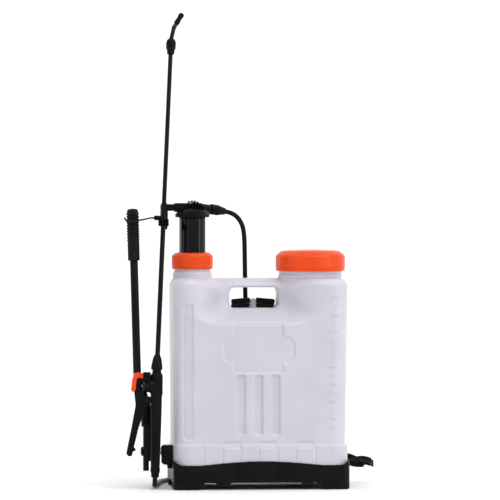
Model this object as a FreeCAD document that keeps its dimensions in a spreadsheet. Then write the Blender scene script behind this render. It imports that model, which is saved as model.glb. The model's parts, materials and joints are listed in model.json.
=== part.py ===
"""Backpack sprayer: tank on a base, piston pump with a side lever, hose, gun and lance.

Millimetres. +X is the sprayer's right as seen from its front, -Y is its front, +Y is the
side the wearer stands on, +Z is up. The origin is on the floor under the tank's centre.
"""
import FreeCAD, Part
import math
import os

import Sketcher
from FreeCAD import Placement, Rotation, Vector

DRIVING = [
    ("tank_width", 330.0, "tank, side to side"),
    ("tank_depth", 176.0, "tank, front to back"),
    ("tank_bottom", 30.0, "height of the tank's floor"),
    ("tank_top", 397.0, "height of the tank's shoulders"),
    ("tank_wall", 3.0, "wall of the blown tank"),
    ("corner_round", 32.0, "upright corners of the tank"),
    ("base_corner", 17.0, "upright corners of the base"),
    ("shoulder_round", 14.0, "upper edge of the tank"),
    ("valley_left", -84.0, "left end of the handle valley"),
    ("valley_right", 40.0, "right end of the handle valley"),
    ("valley_lip", 314.0, "height where the valley meets the front"),
    ("handle_half", 28.0, "half of the handle's depth"),
    ("window_left", -56.0, "left end of the hand opening"),
    ("window_right", 36.0, "right end of the hand opening"),
    ("window_floor", 340.0, "lower edge of the hand opening"),
    ("window_roof", 379.0, "upper edge of the hand opening"),
    ("window_round", 12.0, "upper corners of the hand opening"),
    ("fill_place", 100.0, "fill neck from the middle of the tank"),
    ("fill_neck_radius", 60.0, "threaded fill neck"),
    ("fill_mouth_radius", 55.0, "bore of the fill neck"),
    ("fill_neck_top", 438.0, "height of the fill neck's rim"),
    ("fill_cap_radius", 66.0, "fill cap"),
    ("fill_cap_bottom", 410.0, "lower edge of the fill cap"),
    ("fill_cap_top", 450.0, "top of the fill cap"),
    ("pump_place", -125.0, "pump from the middle of the tank"),
    ("pump_neck_radius", 35.0, "threaded pump neck"),
    ("pump_neck_top", 430.0, "height of the pump neck's rim"),
    ("ring_nut_radius", 39.0, "pump ring nut"),
    ("ring_nut_bottom", 414.0, "lower edge of the ring nut"),
    ("ring_nut_top", 445.0, "top of the ring nut"),
    ("base_width", 338.0, "base, side to side"),
    ("base_depth", 184.0, "base, front to back"),
    ("base_height", 58.0, "base walls at the ends"),
    ("skirt_bottom", 12.0, "gap under the base between its feet"),
    ("foot_span", 50.0, "length of each corner foot"),
    ("chamber_radius", 25.0, "air chamber"),
    ("chamber_bottom", 190.0, "lower end of the air chamber"),
    ("chamber_top", 512.0, "underside of the chamber's head"),
    ("head_radius", 31.5, "flange of the chamber's head"),
    ("barrel_radius", 30.5, "pump barrel"),
    ("barrel_bore", 27.5, "bore of the pump barrel"),
    ("barrel_bottom", 92.0, "lower end of the pump barrel"),
    ("arm_height", 530.5, "middle of the pump arm"),
    ("rod_top_place", -178.5, "link rod's upper end, sideways"),
    ("rod_foot_place", -196.7, "link rod's lower eye, sideways"),
    ("rod_radius", 4.0, "link rod"),
    ("pivot_height", 70.0, "lever shaft above the floor"),
    ("pivot_place", -33.0, "lever shaft, front to back"),
    ("shaft_radius", 6.0, "lever shaft"),
    ("crank_length", 38.0, "crank, shaft to pin"),
    ("crank_rise", 42.5, "crank's angle above level at rest"),
    ("crank_pin_radius", 4.0, "crank pin"),
    ("lever_radius", 7.5, "lever tube"),
    ("grip_radius", 12.0, "lever grip"),
    ("lance_radius", 4.2, "lance tube"),
    ("hose_radius", 4.5, "hose"),
    ("trigger_width", 11.0, "trigger, front to back of the blade"),
    ("strap_width", 35.0, "shoulder strap webbing"),
]

doc = FreeCAD.newDocument("backpack_sprayer")
sheet = doc.addObject("Spreadsheet::Sheet", "sizes")


class Length:
    """A length that carries both its value and the spreadsheet expression behind it."""

    def __init__(self, value, text):
        self.value = float(value)
        self.text = text

    def _join(self, other, sign, value):
        words = other.text if isinstance(other, Length) else f"({float(other)})"
        return Length(value, f"({self.text} {sign} {words})")

    def __add__(self, other):
        return self._join(other, "+", self.value + float(other))

    def __sub__(self, other):
        return self._join(other, "-", self.value - float(other))

    def __mul__(self, other):
        return self._join(other, "*", self.value * float(other))

    def __truediv__(self, other):
        return self._join(other, "/", self.value / float(other))

    def __neg__(self):
        return Length(-self.value, f"(-1 * {self.text})")

    def __float__(self):
        return self.value


class Sizes:
    """Every driving dimension, by its alias."""


S = Sizes()
for row, (alias, number, meaning) in enumerate(DRIVING, 1):
    sheet.set(f"A{row}", meaning)
    sheet.set(f"B{row}", str(number))
    sheet.setAlias(f"B{row}", alias)
    setattr(S, alias, Length(number, f"sizes.{alias}"))
doc.recompute()

UP = Vector(0, 0, 1)
ALONG_X = Vector(1, 0, 0)
ALONG_Y = Vector(0, 1, 0)
finished = []


def finish(item, label):
    """Name a sub-part, so that it is written to its own file."""
    item.Label = label
    finished.append(item)
    return item


def bind(item, name, amount):
    if isinstance(amount, Length):
        item.setExpression(name, amount.text)
    else:
        setattr(item, name, amount)


def place(item, at, direction=UP):
    """Put a primitive at a point, with its own Z along a direction; its place follows the sheet."""
    spot = Vector(*(float(part) for part in at))
    item.Placement = Placement(spot, Rotation(UP, Vector(*direction)))
    for letter, amount in zip("xyz", at):
        if isinstance(amount, Length):
            item.setExpression(f"Placement.Base.{letter}", amount.text)
    return item


def cylinder(radius, height, at=(0, 0, 0), direction=UP):
    item = doc.addObject("Part::Cylinder", "cylinder")
    bind(item, "Radius", radius)
    bind(item, "Height", height)
    return place(item, at, direction)


def cone(low_radius, high_radius, height, at=(0, 0, 0), direction=UP):
    item = doc.addObject("Part::Cone", "cone")
    bind(item, "Radius1", low_radius)
    bind(item, "Radius2", high_radius)
    bind(item, "Height", height)
    return place(item, at, direction)


def ball(radius, at=(0, 0, 0)):
    item = doc.addObject("Part::Sphere", "ball")
    bind(item, "Radius", radius)
    return place(item, at)


def block(length, width, height, at):
    """A box with its lowest corner at a point."""
    item = doc.addObject("Part::Box", "block")
    bind(item, "Length", length)
    bind(item, "Width", width)
    bind(item, "Height", height)
    return place(item, at)


def join(*items):
    item = doc.addObject("Part::MultiFuse", "joined")
    item.Shapes = list(items)
    item.Refine = True
    return item


def cut(base, *tools):
    item = doc.addObject("Part::Cut", "cut")
    item.Base = base
    item.Tool = tools[0] if len(tools) == 1 else join(*tools)
    item.Refine = True
    return item


def rounded(base, radius, choose):
    """Round the edges that choose(edge) picks; an edge is described by its middle and direction."""
    doc.recompute()
    item = doc.addObject("Part::Fillet", "rounded")
    item.Base = base
    picked = []
    for number, edge in enumerate(base.Shape.Edges, 1):
        middle = edge.valueAt((edge.FirstParameter + edge.LastParameter) / 2)
        along = edge.tangentAt((edge.FirstParameter + edge.LastParameter) / 2)
        if choose(middle, along):
            picked.append((number, float(radius), float(radius)))
    item.Edges = picked
    return item


def upright(middle, along):
    return abs(along.z) > 0.99


def level_at(height):
    return lambda middle, along: abs(middle.z - float(height)) < 0.01 and abs(along.z) < 0.01


def origin_plane(body, role):
    return next(item for item in body.Origin.OriginFeatures if item.Role == role)


def outline(body, role, points):
    """A closed sketch on one of the body's planes, each corner held by bound dimensions."""
    sketch = body.newObject("Sketcher::SketchObject", "outline")
    sketch.AttachmentSupport = [(origin_plane(body, role), "")]
    sketch.MapMode = "FlatFace"
    spots = [Vector(float(across), float(up), 0) for across, up in points]
    for number, spot in enumerate(spots):
        sketch.addGeometry(Part.LineSegment(spot, spots[(number + 1) % len(spots)]), False)
    for number in range(len(points)):
        following = (number + 1) % len(points)
        sketch.addConstraint(Sketcher.Constraint("Coincident", number, 2, following, 1))
    for number, corner in enumerate(points):
        for kind, axis, amount in (("DistanceX", -2, corner[0]), ("DistanceY", -1, corner[1])):
            if abs(float(amount)) < 1e-6:
                sketch.addConstraint(Sketcher.Constraint("PointOnObject", number, 1, axis))
                continue
            index = sketch.addConstraint(
                Sketcher.Constraint(kind, -1, 1, number, 1, float(amount)))
            if isinstance(amount, Length):
                sketch.setExpression(f"Constraints[{index}]", amount.text)
    sketch.Visibility = False
    return sketch


def turned(points, at=(0, 0, 0), direction=UP):
    """A piece turned about its own Z from corners given as radius and height."""
    body = doc.addObject("PartDesign::Body", "turned")
    sketch = outline(body, "XZ_Plane", points)
    spin = body.newObject("PartDesign::Revolution", "spin")
    spin.Profile = sketch
    spin.ReferenceAxis = (sketch, ["V_Axis"])
    spin.Angle = 360.0
    spin.Refine = False
    body.Tip = spin
    return place(body, at, direction)


def slab(role, points, thickness, at=(0, 0, 0)):
    """A plate of an outline, its thickness shared equally by both sides of the plane."""
    body = doc.addObject("PartDesign::Body", "slab")
    sketch = outline(body, role, points)
    pad = body.newObject("PartDesign::Pad", "pad")
    pad.Profile = sketch
    pad.Midplane = True
    bind(pad, "Length", thickness)
    body.Tip = pad
    return place(body, at)


def tube(outer, inner, height, at=(0, 0, 0), direction=UP):
    return cut(cylinder(outer, height, at, direction), cylinder(inner, height, at, direction))


# ---------------------------------------------------------------- tank

def tank_form(inset, bottom, top):
    """The tank's rounded outside when inset is 0, or its cavity when inset is the wall."""
    width = S.tank_width - inset * 2
    depth = S.tank_depth - inset * 2
    form = block(width, depth, top - bottom, (-width / 2, -depth / 2, bottom))
    form = rounded(form, S.corner_round - inset, upright)
    form = rounded(form, S.shoulder_round - inset, level_at(top))
    half = S.handle_half - inset
    lip_front = -S.tank_depth / 2 - 1
    slope = []
    for side in (-1, 1):
        near = half * side
        far = lip_front * -side
        slope.append(slab("YZ_Plane", [
            (far, S.valley_lip - inset),
            (near, S.window_floor - inset),
            (near, S.tank_top + 1),
            (far, S.tank_top + 1)],
            S.valley_right - S.valley_left + inset * 2,
            ((S.valley_left + S.valley_right) / 2, 0, 0)))
    return form, slope


def window_form(grow):
    """The hand opening, grown all round by the wall where it is taken out of the cavity."""
    height = S.window_roof - S.window_floor + grow * 2
    opening = block(S.window_right - S.window_left + grow * 2, S.tank_depth, height,
                    (S.window_left - grow, -S.tank_depth / 2, S.window_floor - grow))
    roof = S.window_roof + grow

    def upper_corner(middle, along):
        return abs(middle.z - float(roof)) < 0.01 and abs(along.y) > 0.99
    return rounded(opening, S.window_round, upper_corner)


def make_tank():
    zero = Length(0, "0")
    outside, slopes = tank_form(zero, S.tank_bottom, S.tank_top)
    shell = cut(outside, *slopes, window_form(zero))
    fill_foot = S.tank_top - S.shoulder_round
    shell = join(
        shell,
        cylinder(S.fill_neck_radius - 3, S.fill_cap_bottom - fill_foot, (S.fill_place, 0, fill_foot)),
        cylinder(S.fill_neck_radius, S.fill_neck_top - S.fill_cap_bottom + 2,
                 (S.fill_place, 0, S.fill_cap_bottom - 2)),
        cylinder(S.ring_nut_radius - 2, S.ring_nut_bottom - fill_foot - 1, (S.pump_place, 0, fill_foot)),
        cylinder(S.pump_neck_radius, S.pump_neck_top - S.ring_nut_bottom + 1,
                 (S.pump_place, 0, S.ring_nut_bottom - 1)),
        block(11, 12, 26, (-13.6, 10, S.window_floor - 1)))
    wall = S.tank_wall
    hollow, inner_slopes = tank_form(wall, S.tank_bottom + wall, S.tank_top - wall)
    hollow = cut(hollow, *inner_slopes, window_form(wall))
    shell = cut(
        shell, hollow,
        cylinder(S.fill_mouth_radius, S.fill_neck_top - fill_foot + 1, (S.fill_place, 0, fill_foot)),
        cylinder(S.pump_neck_radius - wall, S.pump_neck_top - fill_foot + 1,
                 (S.pump_place, 0, fill_foot)),
        cylinder(3.2, 12, (-14, 16, 352), ALONG_X))
    finish(shell, "tank")


def make_fill_cap():
    neck = S.fill_neck_radius
    cap_bottom = S.fill_cap_bottom
    radius = S.fill_cap_radius
    cap = turned([
        (0, 442.5), (neck + 1, 442.5), (neck + 1, cap_bottom), (radius - 0.5, cap_bottom),
        (radius, cap_bottom + 1), (radius, S.fill_cap_top - 11), (radius - 2, S.fill_cap_top - 8),
        (radius - 11, S.fill_cap_top - 2), (radius - 20, S.fill_cap_top - 1), (0, S.fill_cap_top)],
        (S.fill_place, 0, 0))
    finish(cap, "fill_cap")
    finish(tube(neck - 0.5, neck - 9, 2.5, (S.fill_place, 0, 440)), "fill_cap_gasket")
    vent = turned([(0, 438.5), (9, 438.5), (9, 440), (5, 442.5), (0, 442.5)], (S.fill_place, 0, 0))
    finish(vent, "cap_vent_valve")


def make_strainer():
    rim = S.fill_neck_radius - 1
    outer = S.fill_mouth_radius - 1
    bottom = 348.0
    basket = turned([
        (0, bottom), (outer - 4, bottom), (outer, S.fill_neck_top), (rim, S.fill_neck_top),
        (rim, S.fill_neck_top + 1.8), (outer - 2.5, S.fill_neck_top + 1.8),
        (outer - 6, bottom + 2.5), (0, bottom + 2.5)], (S.fill_place, 0, 0))
    slots = []
    for level in (362, 386, 410):
        slots += star(S.fill_place, level, 2 * float(outer) + 4, 10, 16, 6)
    finish(cut(basket, *slots), "fill_strainer")


def star(centre, level, length, width, height, count):
    """Bars that cross at an upright axis, evenly turned."""
    bars = []
    for number in range(count):
        bar = block(length, width, height, (-length / 2, -width / 2, 0))
        turn = Rotation(UP, 180.0 * number / count)
        bar.Placement = Placement(Vector(float(centre), 0, level), turn).multiply(bar.Placement)
        bars.append(bar)
    return bars


# ---------------------------------------------------------------- base

def make_base():
    width = S.base_width
    depth = S.base_depth
    body = block(width, depth, S.base_height, (-width / 2, -depth / 2, 0))
    body = rounded(body, S.base_corner, upright)
    body = rounded(body, 3, level_at(0))
    half = width / 2
    dip = half - 40
    crest_cut = slab("XZ_Plane", [
        (-half - 1, 52), (-half + 7, 43.5), (-half + 20, 41), (-dip, 41), (-dip * 0.5, 46), (0, 49),
        (dip * 0.5, 46), (dip, 41), (half - 20, 41), (half - 7, 43.5), (half + 1, 55), (half + 1, 70),
        (-half - 1, 70)],
        depth + 2)
    under_x = half - S.foot_span
    under_y = depth / 2 - S.foot_span
    gap = [
        slab("XZ_Plane", [(-under_x, -1), (under_x, -1), (under_x - 8, S.skirt_bottom),
                          (-under_x + 8, S.skirt_bottom)], depth + 2),
        slab("YZ_Plane", [(-under_y, -1), (under_y, -1), (under_y - 8, S.skirt_bottom),
                          (-under_y + 8, S.skirt_bottom)], width + 2)]
    seat_width = S.tank_width + 1
    seat_depth = S.tank_depth + 1
    seat = block(seat_width, seat_depth, 60, (-seat_width / 2, -seat_depth / 2, S.tank_bottom))
    seat = rounded(seat, S.corner_round + 0.5, upright)
    belly = block(width - 20, depth - 20, S.tank_bottom - 4, (-width / 2 + 10, -depth / 2 + 10, 0))
    belly = rounded(belly, S.corner_round - 8, upright)
    shell = cut(body, crest_cut, *gap, seat)
    corners = [block(44, 44, 30, (side * 152.5 - 22, end * 75 - 22, 0))
               for side in (-1, 1) for end in (-1, 1)]
    shell = cut(shell, cut(belly, *corners))
    finish(join(shell, *base_additions()), "base")


def base_additions():
    """Ribs under the seat, pads under the long sides, the lever shaft's bracket and the lower strap lugs."""
    ribs = [block(4, S.base_depth - 24, 12, (side, -S.base_depth / 2 + 12, 14))
            for side in (-90, -30, 30, 90)]
    bracket = block(17, 30, 37, (-184, S.pivot_place - 14, 45))
    bracket = rounded(bracket, 3, lambda middle, along: middle.x < -183 and abs(along.y) < 0.01)
    web = block(4, 30, 20, (-169.5, S.pivot_place - 14, 35))
    fins = [block(2, 2, 33, (-185.5, S.pivot_place - 12 + step, 47)) for step in (0, 6, 12, 18, 24)]
    bearing = cylinder(S.shaft_radius + 0.05, 30, (-190, S.pivot_place, S.pivot_height), ALONG_X)
    lugs = [block(8, 9, 14, (side * 146 - 4, S.base_depth / 2 - 1, 28)) for side in (-1, 1)]
    pads = [block(wide, 6, 9, (start, (S.base_depth / 2 - 3) * side - 3, 8))
            for start, wide in ((-85, 26), (76, 21)) for side in (-1, 1)]
    return [cut(join(bracket, web, *fins), bearing), *ribs, *lugs, *pads]


def make_base_screws():
    """Four screws that hold the tank to the base, each up through the base's floor."""
    screws = []
    for side in (-1, 1):
        for end in (-1, 1):
            screws.append(turned([(0, 21.5), (5, 21.5), (5, 25.9), (0, 25.9)],
                                 (side * 60, end * 55, 0)))
    finish(join(*screws), "base_screws")


# ---------------------------------------------------------------- pump

def make_ring_nut():
    neck = S.pump_neck_radius
    top = S.ring_nut_top
    radius = S.ring_nut_radius
    body = turned([
        (neck + 0.6, S.ring_nut_bottom), (radius - 0.5, S.ring_nut_bottom), (radius, S.ring_nut_bottom + 1),
        (radius, top - 6), (radius - 5, top), (S.chamber_radius + 3, top),
        (S.chamber_radius + 3, top - 9), (neck + 0.6, top - 9)], (S.pump_place, 0, 0))
    finish(body, "pump_ring_nut")
    bush = tube(S.chamber_radius + 2.9, S.chamber_radius + 0.05, 12,
                (S.pump_place, 0, S.ring_nut_top - 11.5))
    finish(bush, "pump_guide_bush")


def make_barrel():
    outer = S.barrel_radius
    bore = S.barrel_bore
    top = S.pump_neck_top
    barrel = turned([
        (12, S.barrel_bottom), (outer, S.barrel_bottom), (outer, top),
        (S.pump_neck_radius - 0.5, top), (S.pump_neck_radius - 0.5, top + 3), (bore, top + 3),
        (bore, S.barrel_bottom + 5), (12, S.barrel_bottom + 5)], (S.pump_place, 0, 0))
    finish(barrel, "pump_barrel")
    low = S.barrel_bottom
    seat = turned([(4.5, low - 26), (12, low - 26), (14, low - 14), (20, low - 8), (20, low),
                   (11.9, low), (11.9, low + 6), (9, low + 6), (9, low - 12), (4.5, low - 18)],
                  (S.pump_place, 0, 0))
    finish(seat, "inlet_valve_seat")
    finish(ball(6.5, (S.pump_place, 0, low - 8)), "inlet_valve_ball")
    cage = turned([(0, low - 44), (16, low - 44), (16, low - 18), (14, low - 18), (14, low - 41),
                   (0, low - 41)], (S.pump_place, 0, 0))
    slots = star(S.pump_place, float(low) - 38, 40, 4, 16, 4)
    finish(cut(cage, *slots), "suction_strainer")


def make_chamber():
    outer = S.chamber_radius
    inner = outer - 2.5
    low = S.chamber_bottom
    chamber = turned([
        (5, low), (outer, low), (outer, S.chamber_top), (inner, S.chamber_top), (inner, low + 6),
        (5, low + 6)], (S.pump_place, 0, 0))
    finish(chamber, "air_chamber")
    cup = turned([(6, low - 12), (S.barrel_bore - 0.05, low - 12), (S.barrel_bore - 0.05, low - 2),
                  (outer, low), (6, low)], (S.pump_place, 0, 0))
    finish(cup, "piston_cup")
    finish(ball(6, (S.pump_place, 0, low + 12.5)), "chamber_valve_ball")
    finish(tube(3.5, 2.2, S.chamber_top - low - 30, (S.pump_place + 14, 0, low + 20)), "riser_tube")


def make_head():
    top = S.chamber_top
    radius = S.head_radius
    dome = turned([
        (0, top), (radius, top), (radius + 1, top + 1), (radius + 1, top + 6.5), (radius - 2, top + 8),
        (radius - 2, top + 11), (radius - 5, top + 13), (radius - 12, top + 16), (0, top + 17)],
        (S.pump_place, 0, 0))
    pieces = [dome]
    for number in range(6):
        across = -6.5 + 5.5 * number
        reach = math.sqrt(26.0 ** 2 - across ** 2)
        roof = float(top) + 32 - across ** 2 / 50
        foot = float(top) + 10
        fin = block(1.6, 2 * reach, roof - foot, (S.pump_place + across - 0.8, -reach, foot))
        pieces.append(rounded(fin, 9, lambda middle, along, high=roof: (
            abs(middle.z - high) < 0.01 and abs(along.x) > 0.99)))
    direction = outlet_direction()
    start = Vector(float(S.pump_place), 0, OUTLET_HEIGHT)
    boss = cylinder(8, OUTLET_REACH - 0.2, start, direction)
    pieces.append(boss)
    block_arm = block(26, 20, 17, (S.pump_place - 34, -10, S.arm_height - 8.5))
    block_arm = rounded(block_arm, 4, lambda middle, along: abs(along.x) > 0.99)
    pieces.append(block_arm)
    arm_room = block(50, 12, 13, (S.rod_top_place, -6, S.arm_height - 6.5))
    bolt_hole = cylinder(2.5, 30, (S.pump_place - 22, -15, S.arm_height), ALONG_Y)
    finish(cut(join(*pieces), arm_room, bolt_hole), "chamber_head")
    nut_start = start + direction * OUTLET_REACH
    ribs = [(4.7, 0), (9.6, 0)]
    for number in range(5):
        ribs += [(10, 1 + 3.4 * number), (10, 3.2 + 3.4 * number), (9.4, 3.6 + 3.4 * number),
                 (9.4, 4.2 + 3.4 * number)]
    ribs += [(9, 20), (6.4, HOSE_NUT_LENGTH - 1), (5.8, HOSE_NUT_LENGTH), (4.7, HOSE_NUT_LENGTH)]
    finish(turned(ribs, nut_start, direction), "outlet_hose_nut")


OUTLET_HEIGHT = 533.0
OUTLET_REACH = 42.0
HOSE_NUT_LENGTH = 34.0


def outlet_direction():
    """The outlet points to the right and back, and a little down."""
    side = math.radians(30)
    dip = math.radians(8)
    return Vector(math.cos(side) * math.cos(dip), math.sin(side) * math.cos(dip), -math.sin(dip))


# ---------------------------------------------------------------- arm, link rod and lever

def make_arm():
    high = S.arm_height
    arm = block(50, 12, 13, (S.rod_top_place, -6, high - 6.5))
    arm = rounded(arm, 4, lambda middle, along: abs(along.x) > 0.99)
    pin_hole = cylinder(2.6, 30, (S.pump_place - 22, -15, high), ALONG_Y)
    finish(cut(arm, pin_hole), "pump_arm")
    bolt = join(cylinder(2.5, 24, (S.pump_place - 22, -12, high), ALONG_Y),
                cylinder(4.2, 4, (S.pump_place - 22, -16, high), ALONG_Y))
    finish(bolt, "arm_bolt")


def make_rod():
    top = Vector(float(S.rod_top_place), 0, 520)
    foot = Vector(float(S.rod_foot_place), 0, rod_eye_height() + 9)
    rod = cylinder(S.rod_radius, (top - foot).Length, foot, (top - foot).normalize())
    finish(rod, "link_rod")
    socket = turned([(0, 489), (5.5, 489), (7.2, 496), (7.2, 534), (5, 539), (0, 539)],
                    (S.rod_top_place, 0, 0))
    bore = cylinder(S.rod_radius, (top - foot).Length, foot, (top - foot).normalize())
    clear = block(40, 12, 13, (S.rod_top_place, -6, S.arm_height - 6.5))
    finish(cut(socket, bore, clear), "rod_socket")
    make_rod_eye(bore)


def rod_eye_height():
    rise = math.radians(float(S.crank_rise))
    return float(S.pivot_height) + float(S.crank_length) * math.sin(rise)


def make_rod_eye(rod):
    """The eye is a level slot: the crank pin moves along it as the rod goes straight up and down."""
    height = rod_eye_height()
    half = 9.4
    eye = block(8, 2 * half + 8, 18.6, (S.rod_foot_place - 4, -half - 4, height - 9.3))
    eye = rounded(eye, 7, lambda middle, along: abs(along.x) > 0.99)
    slot = block(10, 2 * half, 10.6, (S.rod_foot_place - 5, -half, height - 5.3))
    slot = rounded(slot, 5, lambda middle, along: abs(along.x) > 0.99)
    neck = cone(5, 4.6, 18, (S.rod_foot_place, 0, height + 6.5), (0.0415, 0, 1))
    finish(cut(join(eye, neck), slot, rod), "rod_eye")


def make_lance_clip():
    """An open clip on the rod socket that the lance is pushed into from the front."""
    arm = block(14, 22, 9, (S.rod_top_place - 7, -25, 498))
    cheeks = block(19, 18, 13, (-191.5, -41, 496))
    gap = block(14.5, 16, 17, (-190.2, -42, 494))
    pocket = cut(join(arm, cheeks), gap)
    clear = turned([(0, 480), (5.5, 480), (5.5, 489), (7.2, 496), (7.2, 534), (0, 534)],
                   (S.rod_top_place, 0, 0))
    finish(cut(pocket, clear), "lance_clip")


def make_retainer():
    """A sprung wire hook on the rod socket that crosses in front of the stored lever's grip."""
    stub = cylinder(3, 12, (-198, -12, 511), ALONG_X)
    knob = turned([(0, 0), (4, 0), (4.6, 1.5), (4.6, 8), (3.4, 10), (0, 10)], (-188.5, -12, 511),
                  Vector(-1, 0, 0))
    foot = block(5, 12, 8, (-188, -14, 507))
    socket = cylinder(7.2, 30, (S.rod_top_place, 0, 500))
    finish(cut(join(stub, foot, knob), socket), "retainer_mount")
    corners = [(-198.6, -12, 511), (-205, -12, 511), (-222, -47.2, 508), (-252, -49, 504), (-257, -49, 512)]
    wire = route_tube(corners, 1.6, "retainer wire")
    feature = doc.addObject("Part::Feature", "wire")
    feature.Shape = wire
    finish(feature, "lever_retainer")


def make_lever():
    pivot = S.pivot_height
    depth = S.pivot_place
    low = Vector(-232, float(depth), 216)
    high = Vector(-238, float(depth), 431)
    along = (high - low).normalize()
    knee = Vector(-214, float(depth), 157)
    straight = cylinder(S.lever_radius, 520 - 216, low, along)
    jog = cylinder(S.lever_radius, (low - knee).Length, knee, (low - knee).normalize())
    foot = cylinder(S.lever_radius, 40, (-214, depth, 117))
    finish(join(straight, jog, ball(S.lever_radius, low), ball(S.lever_radius, knee), foot), "lever_tube")
    grip = [(S.lever_radius + 0.1, 0), (S.grip_radius - 0.8, 0), (S.grip_radius - 0.8, 34)]
    for number in range(10):
        foot_of_rib = 36 + 5.5 * number
        grip += [(S.grip_radius - 1.4, foot_of_rib), (S.grip_radius, foot_of_rib + 1.2),
                 (S.grip_radius, foot_of_rib + 3.4), (S.grip_radius - 1.4, foot_of_rib + 4.6)]
    grip += [(S.grip_radius - 1, 93), (S.grip_radius - 3.5, 97), (0, 98), (0, 95),
             (S.lever_radius + 0.1, 95)]
    finish(turned(grip, high, along), "lever_grip")
    hub = block(13, 26, 92, (-220.5, depth - 13, 33))
    hub = rounded(hub, 8, lambda middle, direction: abs(direction.x) > 0.99)
    tube_hole = cylinder(S.lever_radius + 0.05, 60, (-214, depth, 117))
    neck = cone(S.lever_radius + 3, S.lever_radius + 1.6, 38, (-214, depth, 117))
    shaft_hole = cylinder(S.shaft_radius, 30, (-230, depth, pivot), ALONG_X)
    gun_room = block(5, 30, 20, (-210.5, depth - 15, 32))
    finish(cut(join(hub, neck), tube_hole, shaft_hole, gun_room), "lever_hub")
    finish(cylinder(S.shaft_radius, 50, (-220, depth, pivot), ALONG_X), "pivot_shaft")
    knob = turned([(0, 0), (9, 0), (9, 2), (6, 4), (0, 4)], (-221.2, depth, pivot), Vector(-1, 0, 0))
    finish(knob, "shaft_nut")
    make_crank()


def make_crank():
    depth = S.pivot_place
    web = slab("YZ_Plane", [(-9, -10), (9, -10), (S.crank_length + 6.5, -6), (S.crank_length + 6.5, 6), (-9, 10)],
               4)
    hole = cylinder(S.shaft_radius, 10, (-5, 0, 0), ALONG_X)
    pin_hole = cylinder(S.crank_pin_radius, 10, (-5, S.crank_length, 0), ALONG_X)
    arm = cut(web, hole, pin_hole)
    turn = Rotation(ALONG_X, float(S.crank_rise))
    spot = Vector(-204.4, float(depth), float(S.pivot_height))
    arm.Placement = Placement(spot, turn)
    finish(arm, "crank_arm")
    rise = math.radians(float(S.crank_rise))
    reach = float(S.crank_length)
    pin = cylinder(S.crank_pin_radius, 17, (
        -206.4, float(depth) + reach * math.cos(rise), float(S.pivot_height) + reach * math.sin(rise)),
        ALONG_X)
    finish(pin, "crank_pin")


# ---------------------------------------------------------------- gun, lance and nozzle

GUN_TOP = Vector(-195.8, -53.0, 238.0)
GUN_LEAN = Vector(0.0233, 0.08, 1).normalize()
LANCE_LEAN = Vector(0.0501, 0.08, 1).normalize()
ELBOW_LEAN = Vector(0.25, 0.06, 1).normalize()
NOZZLE_LEAN = Vector(0.6, 0.04, 1).normalize()


def frame_at(origin, lean):
    return Placement(origin, Rotation(UP, lean))


def in_frame(item, frame):
    """Carry a finished piece, modelled upright at the origin, into a leaning frame."""
    doc.recompute()
    item.Placement = frame.multiply(item.Placement)
    return item


def make_gun():
    frame = frame_at(GUN_TOP, GUN_LEAN)
    grip = turned([
        (0, -196), (8.4, -196), (8.8, -190), (9.2, -160), (10.2, -110), (10.6, -62), (11.4, -56),
        (11.4, -24), (8.6, -19), (8.2, -15), (8.2, 0), (0, 0)])
    stub = cylinder(12, 20, (-23, 0, -44), ALONG_X)
    stub_bore = cylinder(8, 14, (-25, 0, -44), ALONG_X)
    lug = rounded(block(17, 17, 13, (-25, -8.5, -76.5)), 4, lambda middle, along: (
        abs(along.y) > 0.99 and middle.x < -24))
    lug_slot = block(16, 9.8, 20, (-28, -4.9, -80))
    lock_ear = block(7, 9.6, 11, (-22.9, -4.8, -34))
    way = cylinder(3.2, 190, (0, 0, -196))
    gun = cut(join(grip, stub, lug, lock_ear), stub_bore, way, lug_slot,
              cylinder(2.1, 20, (*TRIGGER_PIVOT, ), ALONG_Y), cylinder(1.6, 20, (*LOCK_PIVOT, ), ALONG_Y))
    finish(in_frame(gun, frame), "gun_body")
    stem = join(cylinder(2.2, 31, (-44, 0, -44), ALONG_X), cylinder(3.8, 4, (-47.4, 0, -44), ALONG_X),
                cylinder(5, 3, (-15, 0, -44), ALONG_X))
    finish(in_frame(stem, frame), "valve_stem")
    spring = tube(7, 5.2, 5, (-22, 0, -44), ALONG_X)
    finish(in_frame(spring, frame), "valve_spring")
    cap = turned([(2.5, 0), (12.6, 0), (12.6, 3), (12, 4), (2.5, 4)], (-23.1, 0, -44), Vector(-1, 0, 0))
    finish(in_frame(cap, frame), "valve_cap")
    finish(in_frame(cylinder(2.05, 18, (-19, -9, -70), ALONG_Y), frame), "trigger_pin")
    nut = turned([(4.9, -196), (8.8, -196), (9, -199), (9, -205), (7.4, -209), (6, -210), (4.9, -210)])
    finish(in_frame(nut, frame), "gun_hose_nut")
    make_trigger(frame)
    make_lock(frame)


TRIGGER_PIVOT = (-19, -10, -70)
LOCK_PIVOT = (-19.5, -10, -27.5)


def make_trigger(frame):
    """A bell crank: squeezing the blade turns it about the lug and pulls the valve stem out."""
    blade = slab("XZ_Plane", [
        (-28.5, -34), (-33, -31), (-38, -32), (-41, -37), (-42, -56), (-39, -80), (-46, -124),
        (-55, -172), (-51, -177), (-44.5, -176.5), (-42.5, -168), (-37.5, -166), (-37.5, -163),
        (-41, -160), (-33, -124), (-24, -97), (-15, -78), (-13.5, -71), (-17, -65), (-24, -62), (-28.5, -57)],
        9)
    hole = cylinder(2.1, 20, TRIGGER_PIVOT, ALONG_Y)
    stem_slot = block(30, 5.2, 12.5, (-50, -2.6, -48))
    finish(in_frame(cut(blade, hole, stem_slot), frame), "trigger")


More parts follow.
